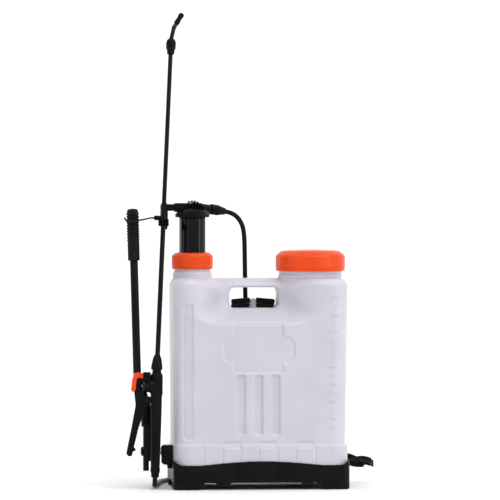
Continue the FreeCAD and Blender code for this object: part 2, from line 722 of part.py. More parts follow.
def make_lock(frame):
    """A forked lock that straddles the top of the trigger and swings up about the valve housing."""
    hook = slab("XZ_Plane", [
        (-16, -27), (-17.5, -23), (-36, -18.5), (-42, -21), (-45.5, -29), (-48, -50), (-46, -55),
        (-42, -55), (-39.5, -50), (-38.5, -33), (-35, -28.5), (-28, -30), (-23, -30.6), (-17.5, -31)], 17)
    fork = block(26, 10.6, 50, (-54, -5.3, -78.6))
    ear_room = block(13, 10.6, 16, (-28.5, -5.3, -36))
    hole = cylinder(1.6, 20, LOCK_PIVOT, ALONG_Y)
    finish(in_frame(cut(hook, fork, ear_room, hole), frame), "trigger_lock")
    finish(in_frame(cylinder(1.55, 17, (-19.5, -8.5, -27.5), ALONG_Y), frame), "lock_pin")


def make_lance():
    frame = frame_at(GUN_TOP, LANCE_LEAN)
    nut = turned([(4.3, -13), (9.6, -13), (10.8, -11), (10.6, -6), (8.2, 8), (6.6, 12), (5.6, 15), (4.3, 15)])
    top_of_gun = cylinder(9, 20.5, (0, 0, -20))
    finish(in_frame(cut(nut, top_of_gun), frame), "lance_nut")
    finish(in_frame(tube(S.lance_radius, S.lance_radius - 1, 596, (0, 0, 1)), frame), "lance_tube")
    top = 585.0
    head_nut = turned([
        (S.lance_radius + 0.1, top), (6.2, top), (6.8, top + 2), (7.4, top + 8), (9.2, top + 12),
        (9.4, top + 22), (8, top + 27), (5.2, top + 30), (4.1, top + 30), (4.1, top + 13),
        (S.lance_radius + 0.1, top + 13)])
    finish(in_frame(head_nut, frame), "nozzle_nut")
    start = frame.multVec(Vector(0, 0, top + 14))
    exit_spot = frame.multVec(Vector(0, 0, top + 30))
    elbow_end = exit_spot + ELBOW_LEAN * 22
    upright_part = cylinder(4, (exit_spot - start).Length + 1, start, LANCE_LEAN)
    leaning = cylinder(4, 22, exit_spot, ELBOW_LEAN)
    elbow = join(upright_part, leaning, ball(4, exit_spot), ball(4.6, elbow_end),
                 cylinder(4, 8, elbow_end, NOZZLE_LEAN))
    finish(elbow, "nozzle_elbow")
    tip_start = elbow_end + NOZZLE_LEAN * 8.1
    tip = turned([(0, 0), (5, 0), (5.2, 1), (5.2, 7), (4.6, 8), (4.6, 15), (5.2, 16), (5.2, 20), (3.4, 23),
                  (1.2, 23), (1.2, 17), (0, 17)], tip_start, NOZZLE_LEAN)
    finish(tip, "nozzle_tip")


# ---------------------------------------------------------------- hose

HOSE_ROUTE = [
    (-45.2, 46.0, 520.0), (-29.8, 54.9, 507.1), (-20.7, 60.2, 485.5), (-19.5, 62.5, 430),
    (-18.5, 64, 356), (-12, 117, 315), (-5, 113, 237), (0, 109, 155), (6, 110, 82), (18, 112, 31),
    (50, 114, 8), (98, 117, 5), (130, 146, 5), (131, 189, 5), (101, 219, 5), (45, 227, 5),
    (-20, 222, 5), (-82, 203, 5), (-130, 165, 5), (-165, 115, 5), (-184, 72, 5), (-190, 32, 5),
    (-197, -12, 5.2), (-200.2, -42.5, 6), (-200.8, -59.3, 8.2), (-200.9, -66.5, 13.8), (-200.85, -70.2, 22.1),
]


def route_tube(points, radius, name):
    """A round bar along straight runs joined by tangent arcs; prints the arcs' radii."""
    spots = [Vector(*point) for point in points]
    edges = []
    radii = []
    start = spots[0]
    for before, corner, after in zip(spots, spots[1:], spots[2:]):
        back = (before - corner).normalize()
        ahead = (after - corner).normalize()
        turn = math.pi - back.getAngle(ahead)
        shorter = min((before - corner).Length, (after - corner).Length)
        trim = 0.45 * shorter
        bend = trim / math.tan(turn / 2)
        radii.append(bend)
        enter = corner + back * trim
        leave = corner + ahead * trim
        inward = (back + ahead).normalize()
        centre = corner + inward * math.hypot(trim, bend)
        middle = centre - inward * bend
        edges.append(Part.LineSegment(start, enter).toShape())
        edges.append(Part.Arc(enter, middle, leave).toShape())
        start = leave
    edges.append(Part.LineSegment(start, spots[-1]).toShape())
    path = Part.Wire(edges)
    ring = Part.Wire(Part.makeCircle(radius, spots[0], spots[1] - spots[0]))
    solid = path.makePipeShell([ring], True, False)
    expected = math.pi * radius ** 2 * path.Length
    print(f"{name}: length {path.Length:.1f}, volume ratio {solid.Volume / expected:.5f}, radii",
          " ".join(f"{bend:.0f}" for bend in radii))
    return solid


def make_hose():
    direction = outlet_direction()
    start = Vector(float(S.pump_place), 0, OUTLET_HEIGHT) + direction * (OUTLET_REACH + HOSE_NUT_LENGTH)
    end = frame_at(GUN_TOP, GUN_LEAN).multVec(Vector(0, 0, -210))
    points = [tuple(start), *HOSE_ROUTE, tuple(end)]
    feature = doc.addObject("Part::Feature", "hose_tube")
    feature.Shape = route_tube(points, float(S.hose_radius), "hose")
    finish(feature, "hose")


# ---------------------------------------------------------------- harness

def make_harness():
    finish(cylinder(3, 84, (-50, 16, 352), ALONG_X), "strap_pin")
    buckles = []
    hooks = []
    for side, name, inner in ((-1, "left", -13.9), (1, "right", -2.3)):
        outer = inner + side * float(S.strap_width)
        middle = (inner + outer) / 2
        loop = cylinder(8.5, S.strap_width, (min(inner, outer), 16, 352), ALONG_X)
        run = slab("YZ_Plane", [
            (16, 343.6), (27, 341), (88.8, 314.6), (90.5, 290.2), (97, 290.2), (96, 319), (30, 349),
            (16, 360.4)], S.strap_width, (middle, 0, 0))
        hole = cylinder(3.05, S.strap_width, (min(inner, outer), 16, 352), ALONG_X)
        finish(cut(join(loop, run), hole), f"strap_top_{name}")
        lean = side * 60.0
        pad = slab("XZ_Plane", [
            (middle - 21, 290), (middle + 21, 290), (middle + 27 + lean, 152), (middle - 27 + lean, 152)],
            12, (0, 97, 0))
        finish(pad, f"shoulder_pad_{name}")
        low = middle + lean * 1.05
        frame_bar = block(50, 5, 26, (low - 25, 94.5, 125.5))
        slots = [block(39, 7, 4.5, (low - 19.5, 93, level)) for level in (130, 136.5, 143)]
        buckles.append(cut(frame_bar, *slots))
        foot = side * 146.0
        web = slab("XZ_Plane", [
            (low - 18, 125), (low + 18, 125), (foot + 15, 47), (foot - 15, 47)], 3, (0, 97, 0))
        finish(web, f"strap_web_{name}")
        hook = block(34, 4, 24, (foot - 17, 95, 22.5))
        opening = block(24, 6, 5, (foot - 12, 94, 38))
        eye = block(8.6, 8, 14.6, (foot - 4.3, 94, 27.7))
        hooks.append(cut(hook, opening, eye))
    finish(join(*buckles), "strap_buckles")
    finish(join(*hooks), "strap_hooks")
    tail = slab("XZ_Plane", [
        (172, 57), (186, 60), (205, 55), (222, 47), (219, 41), (203, 44), (186, 38), (172, 41)], 5,
        (0, 88, 0))
    finish(tail, "strap_tail")


def check_and_write():
    doc.recompute()
    faults = [f"{item.Label}: {item.State}" for item in doc.Objects
              if "Invalid" in item.State or "Error" in item.State]
    for item in finished:
        shape = item.Shape
        if shape.isNull() or not shape.isValid() or not shape.Solids:
            faults.append(f"{item.Label}: bad shape")
    if faults:
        raise SystemExit("\n".join(faults))
    os.makedirs("parts", exist_ok=True)
    for item in finished:
        item.Shape.exportStep(os.path.join("parts", f"{item.Label}.step"))
        print(f"{item.Label}: {len(item.Shape.Solids)} solid(s), {item.Shape.Volume / 1000:.1f} cm3")
    print(len(finished), "sub-parts")


make_tank()
make_fill_cap()
make_strainer()
make_base()
make_base_screws()
make_ring_nut()
make_barrel()
make_chamber()
make_head()
make_arm()
make_rod()
make_lance_clip()
make_retainer()
make_lever()
make_gun()
make_lance()
make_hose()
make_harness()
check_and_write()
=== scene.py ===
"""Looks of the backpack sprayer: its visible pieces and materials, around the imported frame.

Shapes are drawn in millimetres, in the frame's own axes, and their meshes are in metres.
"""

import json
import math

import bmesh
import bpy
import numpy as np
from mathutils import Matrix, Vector


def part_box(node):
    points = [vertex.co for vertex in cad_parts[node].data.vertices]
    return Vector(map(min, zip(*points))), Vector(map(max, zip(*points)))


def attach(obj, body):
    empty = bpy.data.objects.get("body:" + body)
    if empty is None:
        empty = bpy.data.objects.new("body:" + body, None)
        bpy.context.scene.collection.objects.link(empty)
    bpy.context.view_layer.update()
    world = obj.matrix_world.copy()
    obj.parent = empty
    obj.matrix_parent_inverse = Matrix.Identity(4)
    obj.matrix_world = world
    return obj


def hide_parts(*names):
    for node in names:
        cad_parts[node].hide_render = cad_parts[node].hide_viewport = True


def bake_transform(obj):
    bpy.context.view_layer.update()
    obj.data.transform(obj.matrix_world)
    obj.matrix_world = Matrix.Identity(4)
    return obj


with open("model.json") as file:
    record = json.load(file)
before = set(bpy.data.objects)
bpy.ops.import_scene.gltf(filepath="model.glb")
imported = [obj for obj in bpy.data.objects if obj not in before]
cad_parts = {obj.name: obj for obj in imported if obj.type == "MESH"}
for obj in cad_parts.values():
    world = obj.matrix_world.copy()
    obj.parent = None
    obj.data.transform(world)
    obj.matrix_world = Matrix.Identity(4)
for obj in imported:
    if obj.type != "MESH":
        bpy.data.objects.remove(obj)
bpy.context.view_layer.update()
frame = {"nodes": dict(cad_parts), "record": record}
nodes = frame["nodes"]

MM = 0.001
UP = Vector((0, 0, 1))


def box_mm(node):
    """A CAD node's lowest and highest corners, in millimetres."""
    low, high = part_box(node)
    return np.array(low) / MM, np.array(high) / MM


# ---------------------------------------------------------------- camera

FRAME_SIZE = 0.950
CAMERA_DISTANCE = 9.0
CAMERA_AZIMUTH = math.radians(-5)
CAMERA_ELEVATION = math.radians(1.2)
AIM = Vector((-0.0150, 0.0, 0.4496))


def make_camera():
    data = bpy.data.cameras.new("camera")
    data.sensor_width = 36
    data.lens = 36 * CAMERA_DISTANCE / FRAME_SIZE
    camera = bpy.data.objects.new("camera", data)
    bpy.context.scene.collection.objects.link(camera)
    back = Vector((
        math.sin(CAMERA_AZIMUTH) * math.cos(CAMERA_ELEVATION),
        -math.cos(CAMERA_AZIMUTH) * math.cos(CAMERA_ELEVATION),
        math.sin(CAMERA_ELEVATION)))
    camera.location = AIM + back * CAMERA_DISTANCE
    camera.rotation_mode = "QUATERNION"
    camera.rotation_quaternion = (-back).to_track_quat("-Z", "Y")
    bpy.context.scene.camera = camera


make_camera()


# ---------------------------------------------------------------- materials

class Surface:
    """A material and the few node patterns that its look is made of."""

    def __init__(self, name, colour, roughness, metallic=0.0):
        self.material = bpy.data.materials.new(name)
        self.material.use_nodes = True
        self.tree = self.material.node_tree
        self.shader = self.tree.nodes["Principled BSDF"]
        self.set("Base Color", (*colour, 1))
        self.set("Roughness", roughness)
        self.set("Metallic", metallic)
        self.place = self.tree.nodes.new("ShaderNodeTexCoord")
        self.relief = None

    def set(self, socket, value):
        self.shader.inputs[socket].default_value = value

    def noise(self, scale, detail=3.0, stretch=(1, 1, 1)):
        spread = self.tree.nodes.new("ShaderNodeMapping")
        spread.inputs["Scale"].default_value = stretch
        self.tree.links.new(self.place.outputs["Object"], spread.inputs["Vector"])
        pattern = self.tree.nodes.new("ShaderNodeTexNoise")
        pattern.inputs["Scale"].default_value = scale
        pattern.inputs["Detail"].default_value = detail
        self.tree.links.new(spread.outputs["Vector"], pattern.inputs["Vector"])
        return pattern.outputs["Fac"]

    def ramp(self, factor, low, high, start=0.35, end=0.65):
        """Two colours or greys laid over a pattern."""
        band = self.tree.nodes.new("ShaderNodeValToRGB")
        band.color_ramp.elements[0].position = start
        band.color_ramp.elements[1].position = end
        band.color_ramp.elements[0].color = (*low, 1)
        band.color_ramp.elements[1].color = (*high, 1)
        self.tree.links.new(factor, band.inputs["Fac"])
        return band.outputs["Color"]

    def tint(self, factor, low, high, start=0.35, end=0.65):
        self.tree.links.new(self.ramp(factor, low, high, start, end), self.shader.inputs["Base Color"])

    def gloss(self, factor, low, high):
        """Roughness that wanders between two values."""
        reach = self.tree.nodes.new("ShaderNodeMapRange")
        reach.inputs["From Min"].default_value = 0.3
        reach.inputs["From Max"].default_value = 0.7
        reach.inputs["To Min"].default_value = low
        reach.inputs["To Max"].default_value = high
        self.tree.links.new(factor, reach.inputs["Value"])
        self.tree.links.new(reach.outputs["Result"], self.shader.inputs["Roughness"])

    def bump(self, factor, height, strength=1.0):
        """Relief of a height in metres; several are stacked."""
        node = self.tree.nodes.new("ShaderNodeBump")
        node.inputs["Distance"].default_value = height
        node.inputs["Strength"].default_value = strength
        self.tree.links.new(factor, node.inputs["Height"])
        if self.relief:
            self.tree.links.new(self.relief.outputs["Normal"], node.inputs["Normal"])
        self.tree.links.new(node.outputs["Normal"], self.shader.inputs["Normal"])
        self.relief = node

    def wave(self, scale, source, direction):
        pattern = self.tree.nodes.new("ShaderNodeTexWave")
        pattern.bands_direction = direction
        pattern.inputs["Scale"].default_value = scale
        self.tree.links.new(self.place.outputs[source], pattern.inputs["Vector"])
        return pattern.outputs["Fac"]

    def combine(self, first, second, how="MAXIMUM"):
        node = self.tree.nodes.new("ShaderNodeMath")
        node.operation = how
        self.tree.links.new(first, node.inputs[0])
        self.tree.links.new(second, node.inputs[1])
        return node.outputs["Value"]


def tank_surface():
    """Milky blown polyethylene: clouded, faintly lavender, with a fine moulded grain."""
    look = Surface("milky_polyethylene", (0.60, 0.585, 0.65), 0.34)
    look.tint(look.noise(14, 5), (0.575, 0.56, 0.63), (0.62, 0.605, 0.672), 0.3, 0.7)
    look.set("Subsurface Weight", 0.35)
    look.set("Subsurface Radius", (0.012, 0.010, 0.013))
    look.set("Subsurface Scale", 0.6)
    look.gloss(look.noise(60, 2), 0.30, 0.42)
    look.bump(look.noise(9, 2), 0.0010, 0.35)
    look.bump(look.noise(900, 2), 0.00008, 0.5)
    return look.material


def moulded(name, low, high, rough, grain=1200, coat=0.0, shine=0.2):
    """Injection-moulded plastic: a fine grain, patchy gloss and a slight change of shade."""
    look = Surface(name, high, rough)
    look.set("Specular IOR Level", shine)
    look.tint(look.noise(35, 4), low, high)
    look.gloss(look.noise(80, 3), rough * 0.82, rough * 1.2)
    look.bump(look.noise(22, 2), 0.0003, 0.25)
    look.bump(look.noise(grain, 2), 0.00006, 0.5)
    look.set("Coat Weight", coat)
    look.set("Coat Roughness", 0.18)
    return look.material


def painted_tube():
    """Powder-coated steel, with orange peel and thin lengthwise rubs."""
    look = Surface("black_powder_coat", (0.012, 0.012, 0.013), 0.33)
    look.set("Specular IOR Level", 0.14)
    look.tint(look.noise(90, 4, (1, 1, 0.08)), (0.004, 0.004, 0.005), (0.012, 0.012, 0.013), 0.45, 0.8)
    look.gloss(look.noise(120, 3, (1, 1, 0.1)), 0.24, 0.42)
    look.bump(look.noise(700, 2), 0.00007, 0.6)
    return look.material


def rubber(name, shade, rough):
    look = Surface(name, (shade, shade, shade), rough)
    look.set("Specular IOR Level", 0.1)
    look.tint(look.noise(60, 4), (shade * 0.7,) * 3, (shade * 1.6,) * 3)
    look.gloss(look.noise(150, 2), rough * 0.85, min(1.0, rough * 1.15))
    look.bump(look.noise(1500, 3), 0.00007, 0.7)
    return look.material


def bright_steel():
    look = Surface("bright_steel", (0.55, 0.55, 0.57), 0.3, 1.0)
    look.tint(look.noise(60, 4), (0.42, 0.42, 0.44), (0.62, 0.62, 0.64))
    look.gloss(look.noise(400, 3, (1, 1, 0.05)), 0.2, 0.45)
    return look.material


def woven(name, shade, scale, height):
    """A plain weave laid along the piece's own UV axes, which are in metres."""
    look = Surface(name, (shade, shade, shade), 0.8)
    warp = look.wave(scale, "UV", "X")
    weft = look.wave(scale * 0.6, "UV", "Y")
    cloth = look.combine(warp, weft, "MULTIPLY")
    look.set("Specular IOR Level", 0.08)
    look.tint(cloth, (shade * 0.35,) * 3, (shade * 1.5,) * 3, 0.05, 0.7)
    look.bump(cloth, height, 0.9)
    look.bump(look.noise(2500, 2), 0.00008, 0.6)
    look.set("Sheen Weight", 0.25)
    look.set("Sheen Roughness", 0.4)
    return look.material


def knitted(name, shade):
    """An air-mesh knit for the shoulder pads, in the piece's own axes."""
    look = Surface(name, (shade, shade, shade), 0.85)
    cell = look.tree.nodes.new("ShaderNodeTexVoronoi")
    cell.inputs["Scale"].default_value = 520
    look.tree.links.new(look.place.outputs["Object"], cell.inputs["Vector"])
    look.tint(cell.outputs["Distance"], (shade * 1.7,) * 3, (shade * 0.4,) * 3, 0.2, 0.7)
    look.bump(cell.outputs["Distance"], 0.0006, 0.8)
    look.set("Sheen Weight", 0.3)
    look.set("Sheen Roughness", 0.5)
    return look.material


LOOKS = {
    "tank_plastic": tank_surface(),
    "orange_plastic": moulded("orange_moulding", (0.74, 0.058, 0.003), (0.84, 0.074, 0.005), 0.34,
                              grain=900, shine=0.25),
    "black_plastic": moulded("black_moulding", (0.003, 0.003, 0.004), (0.006, 0.006, 0.007), 0.38, shine=0.1),
    "gloss_black": moulded("gloss_black_moulding", (0.002, 0.002, 0.003), (0.004, 0.004, 0.005), 0.10,
                           grain=400, coat=0.10, shine=0.25),
    "grip_rubber": rubber("grip_rubber", 0.007, 0.52),
    "seal_rubber": rubber("seal_rubber", 0.02, 0.6),
    "hose_rubber": rubber("hose_rubber", 0.006, 0.3),
    "black_metal": painted_tube(),
    "steel": bright_steel(),
    "webbing": woven("black_webbing", 0.011, 260, 0.0005),
    "pad_fabric": knitted("pad_knit", 0.014),
}


# ---------------------------------------------------------------- pieces

def show(mesh, body, slot, *replaced, sharp=35):
    """Put a mesh into the scene as a piece on a body, with its slot's look."""
    item = bpy.data.objects.new(mesh.name, mesh)
    bpy.context.scene.collection.objects.link(item)
    mesh.shade_smooth()
    mesh.set_sharp_from_angle(angle=math.radians(sharp))
    if not mesh.materials:
        mesh.materials.append(LOOKS[slot])
    if body:
        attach(item, body)
    if replaced:
        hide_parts(*replaced)
    return item


def soften(item, width, segments=2, angle=30):
    """Round a piece's sharp edges."""
    edge = item.modifiers.new("edge", "BEVEL")
    edge.width = width * MM
    edge.segments = segments
    edge.limit_method = "ANGLE"
    edge.angle_limit = math.radians(angle)
    edge.harden_normals = True
    return item


def mesh_of(name, points, faces):
    """A mesh from points in millimetres."""
    mesh = bpy.data.meshes.new(name)
    mesh.from_pydata((np.asarray(points, float) * MM).tolist(), [], [list(face) for face in faces])
    mesh.update()
    return mesh


def leaning(origin, lean):
    """The frame of a piece that is drawn upright and leans, as the CAD places it."""
    return Matrix.Translation(Vector(origin) * MM) @ UP.rotation_difference(Vector(lean)).to_matrix().to_4x4()


def lathe(name, profile, centre=(0, 0), steps=96):
    """A closed turned mesh from (radius, height) corners, about an upright axis."""
    rows = []
    points = []
    for radius, height in profile:
        if radius < 1e-6:
            rows.append([len(points)] * steps)
            points.append((centre[0], centre[1], height))
            continue
        rows.append(list(range(len(points), len(points) + steps)))
        for step in range(steps):
            angle = 2 * math.pi * step / steps
            points.append((centre[0] + radius * math.cos(angle),
                           centre[1] + radius * math.sin(angle), height))
    faces = []
    closed = rows + [rows[0]] if profile[0][0] > 1e-6 else rows
    for low, high in zip(closed, closed[1:]):
        for step in range(steps):
            after = (step + 1) % steps
            corners = [low[step], low[after], high[after], high[step]]
            face = [corner for place, corner in enumerate(corners) if corner not in corners[:place]]
            if len(face) > 2:
                faces.append(face)
    return mesh_of(name, points, faces)


def joined(name, meshes):
    """One mesh from several."""
    whole = bmesh.new()
    for mesh in meshes:
        whole.from_mesh(mesh)
    result = bpy.data.meshes.new(name)
    whole.to_mesh(result)
    whole.free()
    return result


def cuboid(low, high):
    spots = [(x, y, z) for x in (low[0], high[0]) for y in (low[1], high[1]) for z in (low[2], high[2])]
    faces = [(0, 1, 3, 2), (4, 6, 7, 5), (0, 4, 5, 1), (2, 3, 7, 6), (0, 2, 6, 4), (1, 5, 7, 3)]
    return mesh_of("cuboid", spots, faces)


# ---------------------------------------------------------------- hose

HOSE_RADIUS = 4.5
HOSE_NUT_OUT = 76.0
HOSE_ROUTE = [
    (-45.2, 46.0, 520.0), (-29.8, 54.9, 507.1), (-20.7, 60.2, 485.5), (-19.5, 62.5, 430),
    (-18.5, 64, 356), (-12, 117, 315), (-5, 113, 237), (0, 109, 155), (6, 110, 82), (18, 112, 31),
    (50, 114, 8), (98, 117, 5), (130, 146, 5), (131, 189, 5), (101, 219, 5), (45, 227, 5),
    (-20, 222, 5), (-82, 203, 5), (-130, 165, 5), (-165, 115, 5), (-184, 72, 5), (-190, 32, 5),
    (-197, -12, 5.2), (-200.2, -42.5, 6), (-200.8, -59.3, 8.2), (-200.9, -66.5, 13.8), (-200.85, -70.2, 22.1),
]
OUTLET = Vector((-125, 0, 533))
OUTLET_WAY = Vector((
    math.cos(math.radians(30)) * math.cos(math.radians(8)),
    math.sin(math.radians(30)) * math.cos(math.radians(8)),
    -math.sin(math.radians(8))))
GUN_TOP = Vector((-195.8, -53.0, 238.0))
GUN_LEAN = Vector((0.0233, 0.08, 1)).normalized()
GUN = leaning(GUN_TOP, GUN_LEAN)
HOSE_SPLIT_Y = 221.0


def smooth_line(route):
    """Points, in millimetres, read from the NURBS spline that a route controls."""
    curve = bpy.data.curves.new("route", "CURVE")
    curve.dimensions = "3D"
    spline = curve.splines.new("NURBS")
    spline.points.add(len(route) - 1)
    for control, spot in zip(spline.points, route):
        control.co = (*(Vector(spot) * MM), 1)
    spline.order_u = 3
    spline.use_endpoint_u = True
    spline.resolution_u = 12
    holder = bpy.data.objects.new("route", curve)
    line = bpy.data.meshes.new_from_object(holder)
    points = [vertex.co / MM for vertex in line.vertices]
    bpy.data.objects.remove(holder)
    return points


def frames_along(points):
    """For each point of a line, its direction and two steady cross directions."""
    ways = [(after - before).normalized() for before, after in zip(points, points[1:])]
    ways.append(ways[-1])
    across = ways[0].cross(UP if abs(ways[0].z) < 0.9 else Vector((1, 0, 0))).normalized()
    result = []
    for way in ways:
        across = (across - way * across.dot(way)).normalized()
        result.append((way, across, way.cross(across)))
    return result


def tube_mesh(name, points, radius, sides=24):
    rings = []
    for spot, (_, across, rise) in zip(points, frames_along(points)):
        rings.append([spot + (across * math.cos(turn) + rise * math.sin(turn)) * radius
                      for turn in (2 * math.pi * side / sides for side in range(sides))])
    corners = [corner for ring in rings for corner in ring]
    faces = [(row + side, row + (side + 1) % sides, row + sides + (side + 1) % sides, row + sides + side)
             for row in range(0, sides * (len(rings) - 1), sides) for side in range(sides)]
    faces.append(tuple(reversed(range(sides))))
    faces.append(tuple(range(len(corners) - sides, len(corners))))
    return mesh_of(name, corners, faces)


def make_hose():
    """One hose in two lengths that meet on the floor."""
    start = OUTLET + OUTLET_WAY * HOSE_NUT_OUT
    end = GUN @ (Vector((0, 0, -210)) * MM) / MM
    line = smooth_line([tuple(start), *HOSE_ROUTE, tuple(end)])
    split = min(range(len(line)), key=lambda place: (line[place] - Vector((-20, HOSE_SPLIT_Y, 5))).length)
    upper = line[:split + 1]
    lower = line[split:]
    first = show(tube_mesh("hose", upper, HOSE_RADIUS), None, "hose_rubber", "hose")
    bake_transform(first)
    second = show(tube_mesh("hose_gun_end", lower, HOSE_RADIUS), None, "hose_rubber")
    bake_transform(second)


make_hose()


# ---------------------------------------------------------------- solid shapes on a grid

def soft_least(first, second, soft):
    """The lesser of two distances, blended where they are within soft of each other."""
    blend = np.maximum(soft - np.abs(first - second), 0) / soft
    return np.minimum(first, second) - blend * blend * soft / 4


def soft_most(first, second, soft):
    return -soft_least(-first, -second, soft)


def fade(distance, width):
    """1 well inside an outline, 0 outside, over a soft edge."""
    share = np.clip(0.5 - distance / width, 0, 1)
    return share * share * (3 - 2 * share)


def flat_box(u, v, low, high, radius=0.0):
    """Distance to a rounded rectangle in two coordinates."""
    across = np.abs(u - (low[0] + high[0]) / 2) - (high[0] - low[0]) / 2 + radius
    along = np.abs(v - (low[1] + high[1]) / 2) - (high[1] - low[1]) / 2 + radius
    outside = np.hypot(np.maximum(across, 0), np.maximum(along, 0))
    return outside + np.minimum(np.maximum(across, along), 0) - radius


def flat_polygon(u, v, corners):
    """Distance to a polygon in two coordinates."""
    nearest = np.full(np.broadcast(u, v).shape, 1e9)
    sign = np.ones(nearest.shape)
    for (au, av), (bu, bv) in zip(corners, corners[-1:] + corners[:-1]):
        eu, ev = bu - au, bv - av
        wu, wv = u - au, v - av
        share = np.clip((wu * eu + wv * ev) / (eu * eu + ev * ev), 0, 1)
        nearest = np.minimum(nearest, (wu - eu * share) ** 2 + (wv - ev * share) ** 2)
        above, below, left = v >= av, v < bv, eu * wv > ev * wu
        flip = (above & below & left) | (~above & ~below & ~left)
        sign = np.where(flip, -sign, sign)
    return sign * np.sqrt(nearest)


class Solid:
    """Distances to a surface on a grid, in millimetres, below zero inside."""

    def __init__(self, low, high, step):
        self.low = np.array(low, float)
        self.step = step
        counts = [int(math.ceil((b - a) / step)) + 1 for a, b in zip(low, high)]
        lines = [a + step * np.arange(count) for a, count in zip(low, counts)]
        self.x = lines[0][:, None, None]
        self.y = lines[1][None, :, None]
        self.z = lines[2][None, None, :]
        self.far = np.full(counts, 1000.0, np.float32)

    def join(self, shape, soft=0.01):
        self.far = soft_least(self.far, shape, soft).astype(np.float32)

    def cut(self, shape, soft=0.01):
        self.far = soft_most(self.far, -shape, soft).astype(np.float32)

    def press(self, mask, depth):
        """Sink the surface by a depth where the mask is 1, or raise it by a negative one."""
        self.far = self.far + mask * depth

    def box(self, low, high, radius=0.0):
        gaps = [np.abs(axis - (a + b) / 2) - (b - a) / 2 + radius
                for axis, a, b in zip((self.x, self.y, self.z), low, high)]
        outside = np.sqrt(sum(np.maximum(gap, 0) ** 2 for gap in gaps))
        return outside + np.minimum(np.maximum(np.maximum(gaps[0], gaps[1]), gaps[2]), 0) - radius

    def bar(self, start, end, radius, round_by=0.0):
        """A round bar with flat ends; its rims may be rounded."""
        start, end = Vector(start), Vector(end)
        way = (end - start).normalized()
        gap = [axis - a for axis, a in zip((self.x, self.y, self.z), start)]
        along = sum(g * w for g, w in zip(gap, way))
        around = np.sqrt(np.maximum(sum(g * g for g in gap) - along * along, 0)) - radius + round_by
        ends = np.abs(along - (end - start).length / 2) - (end - start).length / 2 + round_by
        outside = np.hypot(np.maximum(around, 0), np.maximum(ends, 0))
        return outside + np.minimum(np.maximum(around, ends), 0) - round_by

    def spindle(self, profile, centre=(0, 0)):
        """A turned shape about an upright axis, from (radius, height) corners going up."""
        heights = [height for _, height in profile]
        radii = [radius for radius, _ in profile]
        around = np.hypot(self.x - centre[0], self.y - centre[1]) - np.interp(self.z, heights, radii)
        return np.maximum(around, np.maximum(heights[0] - self.z, self.z - heights[-1]))

    def plate(self, outline, low, high, radius=0.0):
        """An outline in x and z, thick from low to high in y, its rims rounded."""
        around = outline + radius
        ends = np.abs(self.y - (low + high) / 2) - (high - low) / 2 + radius
        outside = np.hypot(np.maximum(around, 0), np.maximum(ends, 0))
        return outside + np.minimum(np.maximum(around, ends), 0) - radius

    def mesh(self, name, smooth=2):
        """One vertex in each cell that the surface crosses, then a little smoothing."""
        inside = self.far < 0
        cells = tuple(count - 1 for count in inside.shape)
        place = np.zeros((3,) + cells, np.float32)
        found = np.zeros(cells, np.uint8)
        crossings = []
        for axis in range(3):
            order = (axis, (axis + 1) % 3, (axis + 2) % 3)
            far = self.far.transpose(order)
            within = inside.transpose(order)
            crossed = within[:-1] != within[1:]
            share = np.where(crossed, far[:-1] / np.where(crossed, far[:-1] - far[1:], 1), 0)
            crossings.append((order, crossed, within))
            spots = [place[number].transpose(order) for number in order]
            count = found.transpose(order)
            wide, deep = crossed.shape[1] - 1, crossed.shape[2] - 1
            for first in (0, 1):
                for second in (0, 1):
                    part = (slice(None), slice(first, first + wide), slice(second, second + deep))
                    spots[0] += share[part]
                    spots[1] += crossed[part] * first
                    spots[2] += crossed[part] * second
                    count += crossed[part]
        used = found > 0
        index = np.full(cells, -1, np.int64)
        index[used] = np.arange(used.sum())
        corners = np.argwhere(used) + (place[:, used] / found[used]).T
        points = self.low + corners * self.step
        faces = []
        for order, crossed, within in crossings:
            number = index.transpose(order)
            i, j, k = np.nonzero(crossed[:, 1:-1, 1:-1])
            quads = np.stack([number[i, j, k], number[i, j + 1, k],
                              number[i, j + 1, k + 1], number[i, j, k + 1]], 1)
            outward = within[i, j + 1, k + 1]
            quads[~outward] = quads[~outward][:, ::-1]
            faces.append(quads)
        faces = np.concatenate(faces)
        return mesh_of(name, relaxed(points, faces, smooth), faces.tolist())


def relaxed(points, faces, passes):
    """Points moved to the middle of their neighbours and then part of the way back out."""
    ends = np.concatenate([faces[:, [0, 1]], faces[:, [1, 2]], faces[:, [2, 3]], faces[:, [3, 0]]])
    count = np.bincount(ends[:, 0], minlength=len(points)) + np.bincount(ends[:, 1], minlength=len(points))
    for step in range(passes * 2):
        total = np.zeros_like(points)
        for axis in range(3):
            total[:, axis] = (np.bincount(ends[:, 0], points[ends[:, 1], axis], len(points))
                              + np.bincount(ends[:, 1], points[ends[:, 0], axis], len(points)))
        pull = 0.5 if step % 2 == 0 else -0.52
        points = points + pull * (total / count[:, None] - points)
    return points


# ---------------------------------------------------------------- tank

TANK_STEP = 1.7
PUMP_X = -125.0
FILL_X = 100.0
VALLEY_LIP = 313.0
VALLEY_FLOOR = 340.0
HANDLE_HALF = 28.0
SHOULDER = 397.0
BAND_TOP = 84.0


